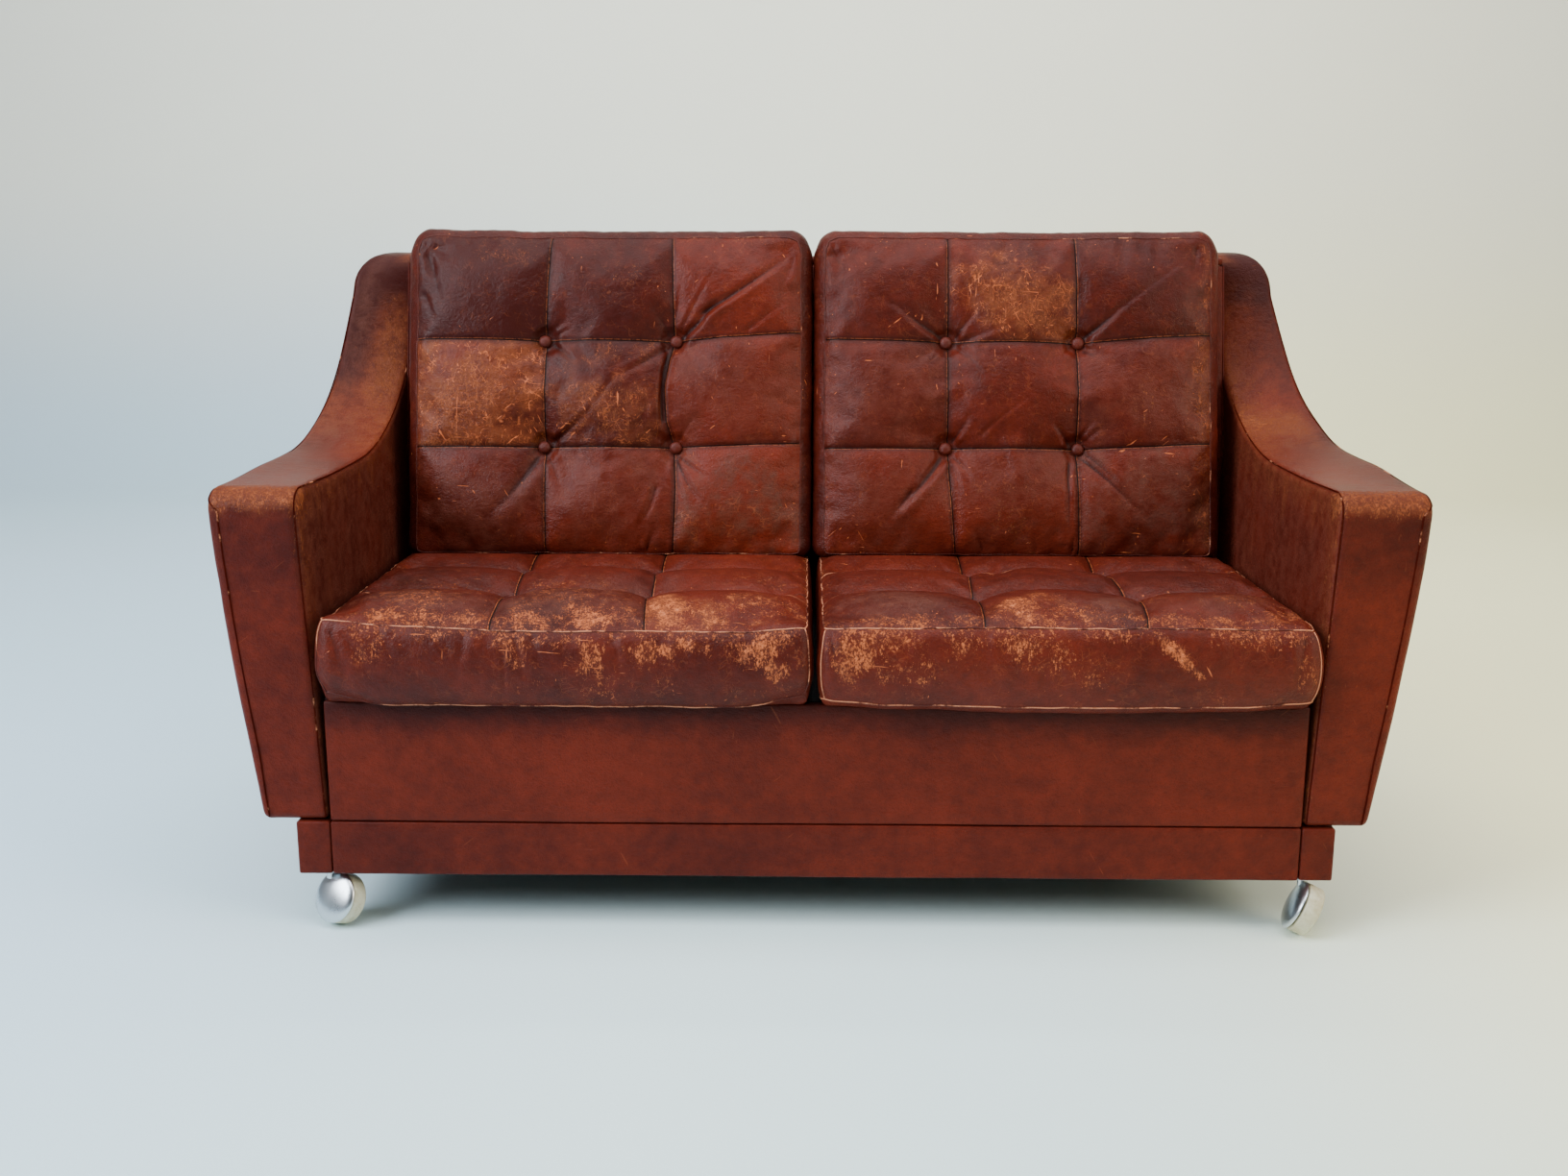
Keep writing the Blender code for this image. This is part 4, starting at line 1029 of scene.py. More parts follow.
def button_pleats(cushion, seed):
    """Small folds that run from each button into the panels around it."""
    chance = np.random.RandomState(seed)
    folds = []
    for tuft in cushion.tufts.values():
        for quarter in range(4):
            for _ in range(3):
                angle = math.radians(45 + 90 * quarter + chance.uniform(-30, 30))
                reach = chance.uniform(24, 62)
                x, y = tuft.x / MM, tuft.y / MM
                c, s = math.cos(angle), math.sin(angle)
                folds.append((x + PLEAT_FROM * c, y + PLEAT_FROM * s, x + reach * c, y + reach * s,
                              chance.uniform(-3, 3), chance.uniform(0.5, 1.3), chance.uniform(2.2, 4.2),
                              chance.choice((-1, 1))))
    return folds


def build_cushion(kind, word, seed):
    cushion = Cushion(kind, word)
    look = LOOKS[cushion.name]
    mesh = cushion_block(cushion)
    grid = read(mesh)
    store(mesh, "block", grid)
    write(mesh, cushion_form(cushion, grid))
    covering = "seat_leather" if kind == "seat" else "cushion_leather"
    obj = new_piece(mesh.name, mesh, finish=finish(covering), replaced=[cushion.name])
    fill_cushion(obj, cushion, grid)
    finer = obj.modifiers.new("Finer", "SUBSURF")
    finer.levels = finer.render_levels = 2
    apply(obj, finer)
    mesh = obj.data
    grid = stored(mesh, "block")
    x, y, depth = grid[:, 0], grid[:, 1], -grid[:, 2]
    down = depth / cushion.thick
    face = down < 0.004
    rim = rim_distance(cushion, x, y)
    points, outward = read(mesh), normals(mesh)

    # Folds of the face, then soft waves everywhere, tighter along the seams round its edge
    relief, crease, ridge = folded(x, y, look["folds"] + button_pleats(cushion, seed))
    firm = 1.0 if kind == "seat" else BACK_FOLDS_DEEPER
    relief, crease, ridge = relief * face * firm, np.clip(crease * firm, 0, 1) * face, ridge * face
    over, along = cushion.seam_offsets(x, y)
    groove = np.exp(-((np.minimum(np.abs(over), np.abs(along)) / 0.0022) ** 2))
    relief -= sizes().groove * groove * face
    relief += 0.0011 * noise_at(grid, 0.055, seed) + 0.00045 * noise_at(grid, 0.019, seed + 1)
    tight = np.exp(-rim / 0.014) * face + (1 - face) * 0.6
    gathers = noise_at(np.stack([x, y, depth * 0.4], axis=1), 0.013, seed + 2)
    relief += 0.0009 * tight * gathers
    front = (y < -cushion.half[1] + 1e-4) & ~face
    if kind == "seat":
        front_folds = folded(x, -depth, look["front_folds"])
        relief += front_folds[0] * front
        crease = np.maximum(crease, front_folds[1] * front)
    points += outward * relief[:, None]

    # The leather is drawn down under each button
    for tuft in cushion.tufts.values():
        off = np.hypot(x - tuft.x, y - tuft.y)
        near = face & (off < 0.026)
        seat = tuft.z - 0.0036
        share = smoothstep(-off[near], -0.024, -0.009)
        points[near, 2] += (seat - points[near, 2]) * share
    write(mesh, points)

    panel_x, panel_y = panel_of(cushion, x, y)
    plan, panel = np.stack([x, y], axis=1), 3 * panel_y + panel_x
    # The grey patches are grime in places and a painted sheen in others, such as the back cushions' lower
    # panels
    wear, dull, fade = (patches(plan, look[key], panel) * face for key in ("wear", "dull", "fade"))
    if kind == "seat":
        front_wear = patches(np.stack([x, -depth], axis=1), look["front_wear"])
        wear = np.maximum(wear, front_wear * front)
    tone = np.array(look["tones"])[panel_y, panel_x]
    tone = np.where(face, tone, look["side_tone"])
    edge_wear = look["edge"] * np.exp(-rim / 0.008) * face
    wear = np.clip(wear + edge_wear * (0.5 + 0.5 * noise_at(grid, 0.03, seed + 3)), 0, 1)
    rubbed = ridge * 0.35
    if kind == "seat":
        behind = [np.abs(y - cushion.row(name, x) + 0.048) for name in ("lower", "upper")]
        faint = 0.50 + 0.40 * noise_at(grid, 0.05, seed + 8)
        rubbed = np.maximum(rubbed, faint * bump_at(np.minimum(*behind), 0, 0.006) * face)
    seam_x, seam_y = (np.where(face, np.clip(off / 0.01, -2, 2), 2) for off in (over, along))
    paint(mesh, wear=wear, fade=fade, dull=dull, tone=tone, crease=crease, rub=rubbed,
          seam_x=seam_x, seam_y=seam_y)
    mesh.attributes.remove(mesh.attributes["block"])
    if kind == "seat":
        press_flat(mesh, cushion)
    mesh.transform(cushion.place)
    mesh.update()
    seam_welts(obj, cushion, grid, seed)
    build_buttons(cushion)
    return obj


def panel_of(cushion, x, y):
    """Which panel each point is in: its column from the left and its row from the top."""
    column = (x > cushion.column("inner", y)).astype(int) + (x > cushion.column("outer", y))
    row = (y < cushion.row("upper", x)).astype(int) + (y < cushion.row("lower", x))
    return column, row


def press_flat(mesh, cushion):
    """Keeps the top of a seat cushion under the back cushion that stands on it."""
    back = Cushion("back", cushion.word)
    edge = back.place @ Vector((0, -back.length / 2, 0))
    slope = back.place.to_3x3() @ Vector((0, 0, 1))
    points = read(mesh)
    place = np.array(cushion.place)
    world = points @ place[:3, :3].T + place[:3, 3]
    roof = edge.z - (world[:, 1] - edge.y) * abs(slope.z / slope.y) - 0.0015
    points[:, 2] += np.minimum(0, roof - world[:, 2])
    write(mesh, points)


def seam_welts(obj, cushion, grid, seed):
    """The raised edges along the seams at the rim of the face and round the base."""
    look = LOOKS[cushion.name]
    rim = rim_distance(cushion, grid[:, 0], grid[:, 1]) < 1e-5
    points = read(obj.data)
    outward = normals(obj.data)
    levels = np.unique(np.round(grid[rim, 2], 6))
    runs = []
    for word, level in (("face", levels[-1]), ("base", levels[look.get("base_seam", 0)])):
        ring = np.nonzero(rim & (np.abs(grid[:, 2] - level) < 1e-5))[0]
        x, y = grid[ring, 0] / cushion.half[0], grid[ring, 1] / cushion.half[1]
        runs.append((word, ring[np.argsort(np.arctan2(y, x))], True))
    if cushion.kind == "seat":
        lowest = levels[look.get("base_seam", 0)]
        for word, side in WORDS.items():
            corner = np.hypot(grid[:, 0] - side * cushion.half[0], grid[:, 1] + cushion.half[1]) < 1e-5
            run = np.nonzero(corner & (grid[:, 2] > lowest - 1e-5))[0]
            runs.append(("corner_" + word, run[np.argsort(grid[run, 2])], False))
    for word, order, closed in runs:
        wobble = 0.0004 * noise_at(grid[order], 0.02, seed + 5)
        path = points[order] + outward[order] * (wobble + 0.0001)[:, None]
        name = f"{cushion.name}_{word}_welt"
        welt = tube(name, path[::2], sizes().welt, finish("welt_leather"), closed).data
        spots = noise_at(read(welt), 0.035, seed + 6) + 0.6 * noise_at(read(welt), 0.009, seed + 7)
        paint(welt, rub=np.clip(look["welt"] + 0.35 * spots, 0, 1), tone=-0.3)


def build_buttons(cushion):
    """Leather-covered buttons: low domes with a tucked edge."""
    turn = cushion.place.to_3x3().to_4x4()
    profile = ((0.0, 0.0034), (0.0032, 0.0031), (0.0060, 0.0022), (0.0082, 0.0006), (0.0091, -0.0010),
               (0.0086, -0.0022), (0.0060, -0.0030), (0.0, -0.0031))
    for key, node_name in cushion.nodes.items():
        made = spun(profile, Matrix.Translation(cushion.place @ cushion.tufts[key]) @ turn, 28)
        button = new_piece(node_name + "_cap", made, finish=finish("welt_leather"), replaced=[node_name])
        paint(button.data, tone=-0.05)


# ---------------------------------------------------------------- arms

FRONT_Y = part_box("front_panel")[0].y
BACK_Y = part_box("outside_back")[1].y
ARM_BOTTOM, ARM_TOP, BACK_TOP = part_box("front_panel")[0].z, 0.569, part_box("outside_back")[1].z
ARM_WIDEST = 0.555
ARM_INNER = (0.6155, 0.6320)
# For each arm: half widths of its outer side at its foot, at its widest and at the top of the
# back, how far padding lifts the outer edge of its top and its crest, and how it has aged, with
# the painted sheen and the painted shade of its inner side
ARM_SIDES = {
    -1: {"outer": (0.7000, 0.7440, 0.7240), "edge_lift": 0.008, "crest_lift": 0.005,
         "side_fade": 0.35, "side_sheen": 0.65, "side_dark": 0.35, "sweep_wear": 0.22},
    1: {"outer": (0.6980, 0.7465, 0.7110), "edge_lift": 0.014, "crest_lift": 0.008,
        "side_fade": 0.50, "side_sheen": 0.50, "side_dark": 0.15, "sweep_wear": 0.50},
}
ARM_NOSE_RADIUS = 0.030
ARM_WIDTH = 0.11  # of the flat block that an arm is shaped from
SWEEP_START_Y, ARM_CREST_Y = 0.33, 0.70
BACK_CORNER = 0.045
SWEEP_TWIST = 0.05
# The upper end of a welt, over which it tucks under the back's cover, and how far down
WELT_END, WELT_TUCK = 0.030, 0.006


def bezier(start, first, second, end, count):
    """Points on a cubic curve after its start, up to and with its end."""
    t = np.linspace(0, 1, count + 1)[1:, None]
    s = 1 - t
    return s**3 * np.array(start) + 3 * s * s * t * np.array(first) \
        + 3 * s * t * t * np.array(second) + t**3 * np.array(end)


def arm_outline():
    """An arm's side view as (y from the front plane, z), from its lower front corner over the top
    to its upper rear corner."""
    turns = np.linspace(0, math.pi / 2, 9)[:, None]
    nose = np.hstack([ARM_NOSE_RADIUS * (1 - np.cos(turns)),
                      ARM_TOP - ARM_NOSE_RADIUS * (1 - np.sin(turns))])
    top = bezier(nose[-1], (0.09, ARM_TOP - 0.001), (0.12, ARM_TOP - 0.003), (0.17, ARM_TOP - 0.003), 8)
    flat = bezier(top[-1], (0.22, ARM_TOP - 0.003), (0.28, ARM_TOP - 0.003), (SWEEP_START_Y, ARM_TOP), 10)
    sweep = bezier(flat[-1], (0.505, 0.585), (0.565, 0.700), (0.628, 0.800), 34)
    crest = bezier(sweep[-1], (0.645, 0.828), (0.660, BACK_TOP), (ARM_CREST_Y, BACK_TOP), 10)
    rear = BACK_Y - FRONT_Y - 0.0103
    front = np.array([(0.0, z) for z in np.arange(ARM_BOTTOM, ARM_TOP - ARM_NOSE_RADIUS - 0.005, 0.012)])
    return np.vstack([front, nose, top, flat, sweep, crest, [(rear, BACK_TOP)]])


def arm_half_widths(side, z):
    """Inner and outer half widths of an arm at a height: it leans outwards and swells a little."""
    foot, widest, upper = ARM_SIDES[side]["outer"]
    t = np.clip((z - ARM_BOTTOM) / (ARM_WIDEST - ARM_BOTTOM), 0, 1)
    inner = ARM_INNER[0] + (ARM_INNER[1] - ARM_INNER[0]) * t
    outer = foot + (widest - foot) * (1 - (1 - t) ** 1.35)
    outer -= (widest - upper) * np.clip((z - ARM_WIDEST) / (0.8 * (BACK_TOP - ARM_WIDEST)), 0, 1)
    over = np.clip((z - BACK_TOP) / BACK_CORNER + 1, 0, 1)
    return inner, outer - BACK_CORNER * (1 - np.sqrt(1 - over * over))


def arm_place(side, across, y, z):
    """Maps a place on the side view, and 0 to 1 from the inner to the outer side, into the frame."""
    inner, outer = arm_half_widths(side, z)
    up = np.clip((z - ARM_TOP) / (BACK_TOP - ARM_TOP), 0, 1)
    outline = arm_outline()
    sweep = outline[outline[:, 0] > SWEEP_START_Y]
    edge = np.interp(z, sweep[:, 1], sweep[:, 0])
    behind = np.clip((y - edge) / np.maximum(outline[-1][0] - edge, 1e-9), 0, 1)
    twist = SWEEP_TWIST * 4 * up * (1 - up) * (1 - across) * (1 - behind)
    look = ARM_SIDES[side]
    lift = look["edge_lift"] * across**1.5 * smoothstep(y, 0.02, 0.22) * (1 - smoothstep(y, 0.42, 0.56))
    crest = look["crest_lift"] * smoothstep(z, BACK_TOP - 0.06, BACK_TOP)
    lift = np.where(z > ARM_TOP - 0.01, lift, 0) + crest
    return np.stack([side * (inner + (outer - inner) * across), FRONT_Y + y + twist, z + lift], axis=-1)


def slice_up(made, low, high, cell, axes=(0, 1, 2)):
    """Cuts every face of a bmesh along planes a cell apart, so that its surface can be shaped."""
    for axis in axes:
        way = [0.0, 0.0, 0.0]
        way[axis] = 1.0
        count = max(1, round((high[axis] - low[axis]) / cell))
        for step in range(1, count):
            at = [0.0, 0.0, 0.0]
            at[axis] = low[axis] + (high[axis] - low[axis]) * step / count
            bmesh.ops.bisect_plane(made, geom=made.verts[:] + made.edges[:] + made.faces[:],
                                   plane_co=at, plane_no=way, dist=cell * 0.12)


def round_edges(made, width, segments=3, sharp=40):
    """Bevels every edge whose faces turn by more than an angle in degrees."""
    edges = [edge for edge in made.edges
             if len(edge.link_faces) == 2 and edge.calc_face_angle(0) > math.radians(sharp)]
    bmesh.ops.bevel(made, geom=edges, offset=width, offset_type="OFFSET", segments=segments,
                    profile=0.5, affect="EDGES", material=-1, clamp_overlap=True)


def ripple(obj, seed, far=0.0010, near=0.0004):
    """Gives taut leather its slight unevenness."""
    points, outward = read(obj.data), normals(obj.data)
    lift = far * noise_at(points, 0.11, seed) + near * noise_at(points, 0.032, seed + 1)
    write(obj.data, points + outward * (lift - far * 0.6)[:, None])


def build_arm(word):
    side = WORDS[word]
    outline = arm_outline()
    made = prism([*outline, (outline[-1][0], ARM_BOTTOM)], 0.0, ARM_WIDTH)
    round_edges(made, sizes().arm_round, segments=4, sharp=45)
    points = np.array([vert.co for vert in made.verts])
    slice_up(made, points.min(axis=0), points.max(axis=0), 0.011, axes=(2, 1))
    slice_up(made, points.min(axis=0), points.max(axis=0), 0.014, axes=(0,))
    bmesh.ops.remove_doubles(made, verts=made.verts, dist=0.0004)
    flat = np.array([vert.co for vert in made.verts])
    for vert, place in zip(made.verts, arm_place(side, flat[:, 0] / ARM_WIDTH, flat[:, 1], flat[:, 2])):
        vert.co = place
    obj = new_piece("arm_leather_" + word, made, finish("frame_leather"), replaced=["arm_cover_" + word])
    ripple(obj, 40 + side)
    age_arm(obj, side)
    arm_welts(word, side, outline)


def arm_shares(points, side):
    """For points on an arm: 0 to 1 from its inner to its outer side, and y from the front plane."""
    inner, outer = arm_half_widths(side, points[:, 2])
    return (points[:, 0] * side - inner) / (outer - inner), points[:, 1] - FRONT_Y


def age_arm(obj, side):
    look = ARM_SIDES[side]
    points, outward = read(obj.data), normals(obj.data)
    across, y = arm_shares(points, side)
    z = points[:, 2]
    ragged = 0.6 * noise_at(points, 0.02, 60) + 0.4 * noise_at(points, 0.007, 61)
    broad = noise_at(points, 0.06, 63)
    front = smoothstep(-outward[:, 1], 0.5, 0.9)
    inner_side = smoothstep(-outward[:, 0] * side, 0.6, 0.9)
    top = smoothstep(outward[:, 2], 0.25, 0.7)
    upper = (1 - inner_side) * smoothstep(z, 0.56, 0.58) * smoothstep(-outward[:, 0] * side, -0.92, -0.70)
    # The nose is worn to bare flecks down to a ragged edge
    nose = smoothstep(z + 0.008 * ragged, 0.536, 0.548) * smoothstep(-y - 0.008 * ragged, -0.040, -0.022)
    nose *= 1 - 0.6 * smoothstep(across, 0.93, 1.0)
    # The inner side is faded along its seams, in streaks that run down
    streaks = noise_at(points * (1, 1, 0.16), 0.012, 62) + 0.6 * noise_at(points * (1, 1, 0.2), 0.030, 64)
    by_front = smoothstep(-y - 0.014 * streaks, -0.060, -0.006)
    under_top = smoothstep(z + 0.030 * streaks + 0.010 * ragged, 0.508, 0.566)
    under_top *= smoothstep(-y, -0.62, -0.30)
    side_fade = inner_side * np.maximum(by_front * (0.55 + 0.30 * streaks), 0.80 * under_top)
    side_fade = look["side_fade"] * side_fade + inner_side * 0.15 * smoothstep(streaks, 0.35, 1.0)
    # The top is faded beside its inner seam, and the sweep and upright in a broad soft patch
    beside = smoothstep(-across + 0.10 * broad, -0.62, -0.04) * smoothstep(y, 0.02, 0.10)
    if side < 0:
        upright = bump_at(across, 0.31 + 0.05 * broad, 0.22) * smoothstep(z + 0.02 * ragged, 0.59, 0.65)
        upright *= smoothstep(-z - 0.02 * ragged, -0.80, -0.715)
        sweep = 0.45 * smoothstep(z, 0.575, 0.60) * smoothstep(-z, -0.68, -0.62)
    else:
        upright = 0.30 * smoothstep(z, 0.60, 0.66) * smoothstep(-z, -0.84, -0.74)
        upright *= np.clip(1 - across, 0, 1) ** 0.5
        sweep = bump_at(z + 0.010 * ragged, 0.605, 0.018) * smoothstep(-across, -0.95, -0.75)
    fade = np.maximum.reduce([0.75 * beside * top, 1.30 * upright, sweep]) * upper
    fade = np.maximum.reduce([fade, side_fade, 0.55 * nose])
    # Painted sheen, greying the leather where light would reflect: the middle of the top, a strip of the
    # left upright and the inner side
    sheen = bump_at(across, 0.62, 0.34) * smoothstep(y, 0.06, 0.22) * smoothstep(-z, -0.64, -0.585) * upper
    if side < 0:
        sheen += 0.9 * bump_at(across, 0.74 + 0.05 * broad, 0.16) * bump_at(z, 0.745, 0.10) * upper
    sheen += look["side_sheen"] * inner_side
    wear = 0.80 * nose + 0.34 * by_front * inner_side + 0.30 * under_top * inner_side
    wear += upper * (0.30 * beside * top + 0.42 * upright + look["sweep_wear"] * sweep)
    front_edges = bump_at(across, 0.02, 0.07) * (1 + ragged)
    front_edges += smoothstep(across + 0.05 * ragged, 0.90, 1.0) * smoothstep(z, 0.40, 0.54)
    wear += 0.16 * front * (1 - nose) * front_edges
    # Painted shade: the inner side is darker, the left arm's more than the right's; the front face also
    # darkens upwards
    tone = 0.12 - 0.45 * front * smoothstep(z + 0.02 * broad, 0.36, 0.53) - look["side_dark"] * inner_side
    tone -= upper * (0.75 * smoothstep(z + 0.02 * broad, 0.74, 0.83) + 0.30 * smoothstep(across, 0.55, 0.9))
    if side < 0:
        tone -= 0.35 * upper * smoothstep(across, 0.45, 0.75) * smoothstep(z, 0.60, 0.68)
    paint(obj.data, wear=np.clip(wear, 0, 1), fade=np.clip(fade * (0.85 + 0.15 * broad), 0, 1),
          dull=np.clip(0.95 * sheen * (1 - nose), 0, 1), tone=tone + 0.15 * broad, crease=0.0, rub=0.0)


def arm_welts(word, side, outline):
    """Raised seams: down the front and along the top of the inner side, and down the outer front."""
    length = np.cumsum(np.r_[0, np.linalg.norm(np.diff(outline, axis=0), axis=1)])
    steps = np.arange(0.005, length[-1] - 0.02, 0.004)
    y, z = (np.interp(steps, length, outline[:, axis]) for axis in (0, 1))
    travel = np.gradient(np.stack([y, z], axis=1), axis=0)
    travel /= np.linalg.norm(travel, axis=1, keepdims=True)
    inward = np.stack([np.zeros(len(steps)), travel[:, 1], -travel[:, 0]], axis=1)
    on_top = smoothstep(z, ARM_TOP - 0.03, ARM_TOP - 0.01)
    for name, edge, toward, first, last in (("inner", 0.0, 1, 38, 38), ("outer", 1.0, -1, 4, 55)):
        turn = np.radians(first + (last - first) * on_top)[:, None]
        corner = arm_place(side, np.full(len(steps), edge), y, z)
        if name == "outer":
            corner[:, 0] -= side * 0.004 * (1 - on_top) * smoothstep(z, ARM_BOTTOM, ARM_BOTTOM + 0.1)
        across = np.array((side * toward, 0, 0))
        radius = sizes().arm_round
        path = corner + across * radius * (1 - np.sin(turn)) + inward * radius * (1 - np.cos(turn))
        path[:, 2] -= WELT_TUCK * smoothstep(steps, steps[-1] - WELT_END, steps[-1])
        cord = tube(f"arm_{name}_welt_{word}", path, sizes().arm_welt, finish("dark_welt_leather"))
        points = read(cord.data)
        spots = 0.30 * noise_at(points, 0.03, 70) + 0.25 * noise_at(points, 0.008, 71)
        level = 0.20 + spots + 0.12 * bump_at(points[:, 2], 0.53, 0.06)
        paint(cord.data, rub=np.clip(level, 0, 1), tone=-0.6)


# ---------------------------------------------------------------- base and back

SLAB_CELL = 0.014
BORE_RADIUS, BORE_SIDES = 0.0066, 24
# The leather over the back's ends: how far it stays behind the lining's face, and how thick it is
END_INSET, END_THICK = 0.002, 0.0015


def leather_slab(name, node_name, rounding, seed, tone=0.0, bores=()):
    """A leather-covered board that fills a box of the frame, with padded edges."""
    low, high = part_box(node_name)
    made = bmesh.new()
    bmesh.ops.create_cube(made, size=1)
    bmesh.ops.scale(made, vec=high - low, verts=made.verts)
    bmesh.ops.translate(made, vec=(low + high) / 2, verts=made.verts)
    round_edges(made, rounding)
    slice_up(made, low, high, SLAB_CELL)
    obj = new_piece(name, made, finish=finish("frame_leather"), replaced=[node_name])
    for x, y in bores:
        drill(obj, x, y)
    ripple(obj, seed, far=0.0005, near=0.0002)
    paint(obj.data, tone=tone)
    return obj


def drill(obj, x, y):
    """Bores an upright hole for a castor's socket."""
    made = bmesh.new()
    bmesh.ops.create_cone(made, cap_ends=True, segments=BORE_SIDES, radius1=BORE_RADIUS,
                          radius2=BORE_RADIUS, depth=0.2)
    bmesh.ops.translate(made, vec=(x, y, 0.0), verts=made.verts)
    mesh = bpy.data.meshes.new("bore")
    made.to_mesh(mesh)
    made.free()
    cutter = bpy.data.objects.new("bore", mesh)
    bpy.context.scene.collection.objects.link(cutter)
    cut = obj.modifiers.new("Bore", "BOOLEAN")
    cut.operation = "DIFFERENCE"
    cut.solver = "EXACT"
    cut.object = cutter
    apply(obj, cut)
    bpy.data.objects.remove(cutter)


def build_base():
    panel = leather_slab("front_panel_leather", "front_panel", 0.0035, seed=80, tone=0.15)
    height = read(panel.data)[:, 2]
    # Painted shade: the panel darkens towards its top, under the overhang of the seat cushions
    paint(panel.data, tone=0.15 - 0.85 * smoothstep(height, 0.245, 0.300))
    for end, seed in (("front", 82), ("rear", 84)):
        leather_slab(f"plinth_{end}_leather", "plinth_" + end, 0.003, seed=seed)
    for word in WORDS:
        holes = [joint["pos_m"][:2] for corner, joint in SWIVELS.items() if corner.endswith(word)]
        leather_slab(f"plinth_{word}_leather", "plinth_" + word, 0.003, seed=86, bores=holes)


def covered_copy(name, node_name, rounding, cell, seed, tone):
    """A leather cover made from a node's own shape, with its edges rounded and its faces cut fine."""
    made = bmesh.new()
    made.from_mesh(frame["nodes"][node_name].data)
    bmesh.ops.remove_doubles(made, verts=made.verts, dist=1e-5)
    bmesh.ops.dissolve_limit(made, angle_limit=math.radians(1), verts=made.verts, edges=made.edges)
    round_edges(made, rounding, sharp=50)
    low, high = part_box(node_name)
    slice_up(made, low, high, cell)
    obj = new_piece(name, made, finish=finish("frame_leather"), replaced=[node_name])
    ripple(obj, seed, far=0.0008, near=0.0003)
    paint(obj.data, tone=tone, wear=0.08)


def build_back():
    covered_copy("outside_back_leather", "outside_back", 0.004, 0.016, 90, 0.0)
    covered_copy("back_lining_leather", "back_lining", 0.004, 0.016, 92, -0.3)
    leather_slab("back_top_leather", "back_top_cover", 0.005, seed=94, tone=-0.1)
    for word, side in WORDS.items():
        back_end(word, side)


def back_end(word, side):
    """The thin leather that turns over the ends of the back's lining, board and top rail."""
    low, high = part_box("back_lining")
    cover_low, cover_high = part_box("back_top_cover")
    corners = ((low.y + END_INSET, low.z), (cover_low.y, high.z),
               (cover_high.y, high.z), (cover_high.y, low.z))
    made = prism(corners, side * high.x, side * END_THICK)
    obj = new_piece("back_end_leather_" + word, made, finish=finish("frame_leather"))
    paint(obj.data, tone=-0.2)


# ---------------------------------------------------------------- castors


def arc(centre, radius, first, last, count):
    """Points on an arc in (radius, height), between two angles in degrees from outwards."""
    return [(centre[0] + radius * math.cos(math.radians(a)), centre[1] + radius * math.sin(math.radians(a)))
            for a in np.linspace(first, last, count)]


def dome(radius, rim, pole, first, last, count):
    """Points on a hood's dome, at angles in degrees from its rim to its pole."""
    return [(radius * math.cos(math.radians(a)) if a < 89.9 else 0.0,
             rim + (pole - rim) * math.sin(math.radians(a))) for a in np.linspace(first, last, count)]


def castor_piece(name, made, body, covering, angle, replaced=()):
    """A turned piece of a castor, with the corners over an angle in degrees kept crisp."""
    obj = new_piece(name, made, finish(covering), body, replaced)
    obj.data.set_sharp_from_angle(angle=math.radians(angle))


def build_castor(corner):
    joint = ROLLS[corner]
    centre = Vector(joint["pos_m"])
    axle = Vector(joint["axis"]).normalized()
    if axle.z < 0:
        axle = -axle
    down = (axle * axle.z - Vector((0, 0, 1))).normalized()
    place = Matrix.Translation(centre) @ Matrix((down, axle.cross(down), axle)).transposed().to_4x4()
    wheel, half, hood = sizes().wheel_radius, sizes().wheel_half, sizes().hood_radius
    hub, edge, wall, gap, pole = 0.0235, 0.004, 0.0015, 0.0003, 0.022
    rim = half + 0.0022
    tread = [(hub + gap, -half + 0.001)]
    tread += [(hub + 0.0012, -half)] + arc((wheel - edge, -half + edge), edge, -90, 0, 7)
    tread += arc((wheel - edge, half - edge), edge, 0, 90, 7)
    tread += [(hub + 0.0012, half), (hub + gap, half - 0.001)]
    roller, swivel = "castor_roller_" + corner, "castor_swivel_" + corner
    castor_piece("castor_tread_" + corner, spun(tread, place), roller, "cream_nylon", 50,
                 ["castor_tyre_" + corner])
    face = half - 0.002
    disc = [(0.0033, -face + 0.0005), (0.0085, -face + 0.0005), (0.0095, -face + 0.002),
            (hub - 0.004, -face + 0.003), (hub - 0.002, -face), (hub, -face), (hub, face), (0.0033, face)]
    castor_piece("castor_disc_" + corner, spun(disc, place), roller, "cream_nylon", 50,
                 ["castor_wheel_" + corner])
    shell = dome(hood, rim, pole, 90, 0, 14) + dome(hood - wall, rim, pole - wall, 0, 90, 14)
    castor_piece("castor_dome_" + corner, spun(shell, place, 64), swivel, "chrome_plate", 60,
                 ["castor_hood_" + corner])
    stem_x, stem_y = SWIVELS[corner]["pos_m"][:2]
    foot = Matrix.Translation((stem_x, stem_y, 0))
    shank = [(0, 0.060), (0.0040, 0.060), (0.0045, 0.0605), (0.0045, 0.069), (0.0040, 0.0695),
             (0.0040, 0.0975), (0.0035, 0.098), (0, 0.098)]
    castor_piece("castor_stem_" + corner, spun(shank, foot, 24), swivel, "chrome_plate", 40)


# ---------------------------------------------------------------- the frame's own pieces


def finish_frame():
    """Gives the carried-over timber, cloth and steel pieces their materials."""
    kinds = (("frame_timber", ("arm_frame_", "front_rail", "rear_rail", "seat_bearer", "back_board",
                               "back_top_rail")),
             ("black_lining", ("seat_deck", "dust_cover")),
             ("zinc_plate", ("castor_socket_", "castor_axle_")))
    for covering, starts in kinds:
        for name, obj in frame["nodes"].items():
            if name.startswith(starts):
                obj.data.materials.clear()
                obj.data.materials.append(finish(covering))


# ---------------------------------------------------------------- stage

# The floor has painted light, a cool tint towards the left and a warm tint towards the right, and it is
# paler up the backdrop
FLOOR_COOL_PAINTED_LIGHT, FLOOR_WARM_PAINTED_LIGHT, BACKDROP_TOP = (0.50, 0.68, 0.81), (1.0, 0.97, 0.60), (0.93, 0.92, 0.80)


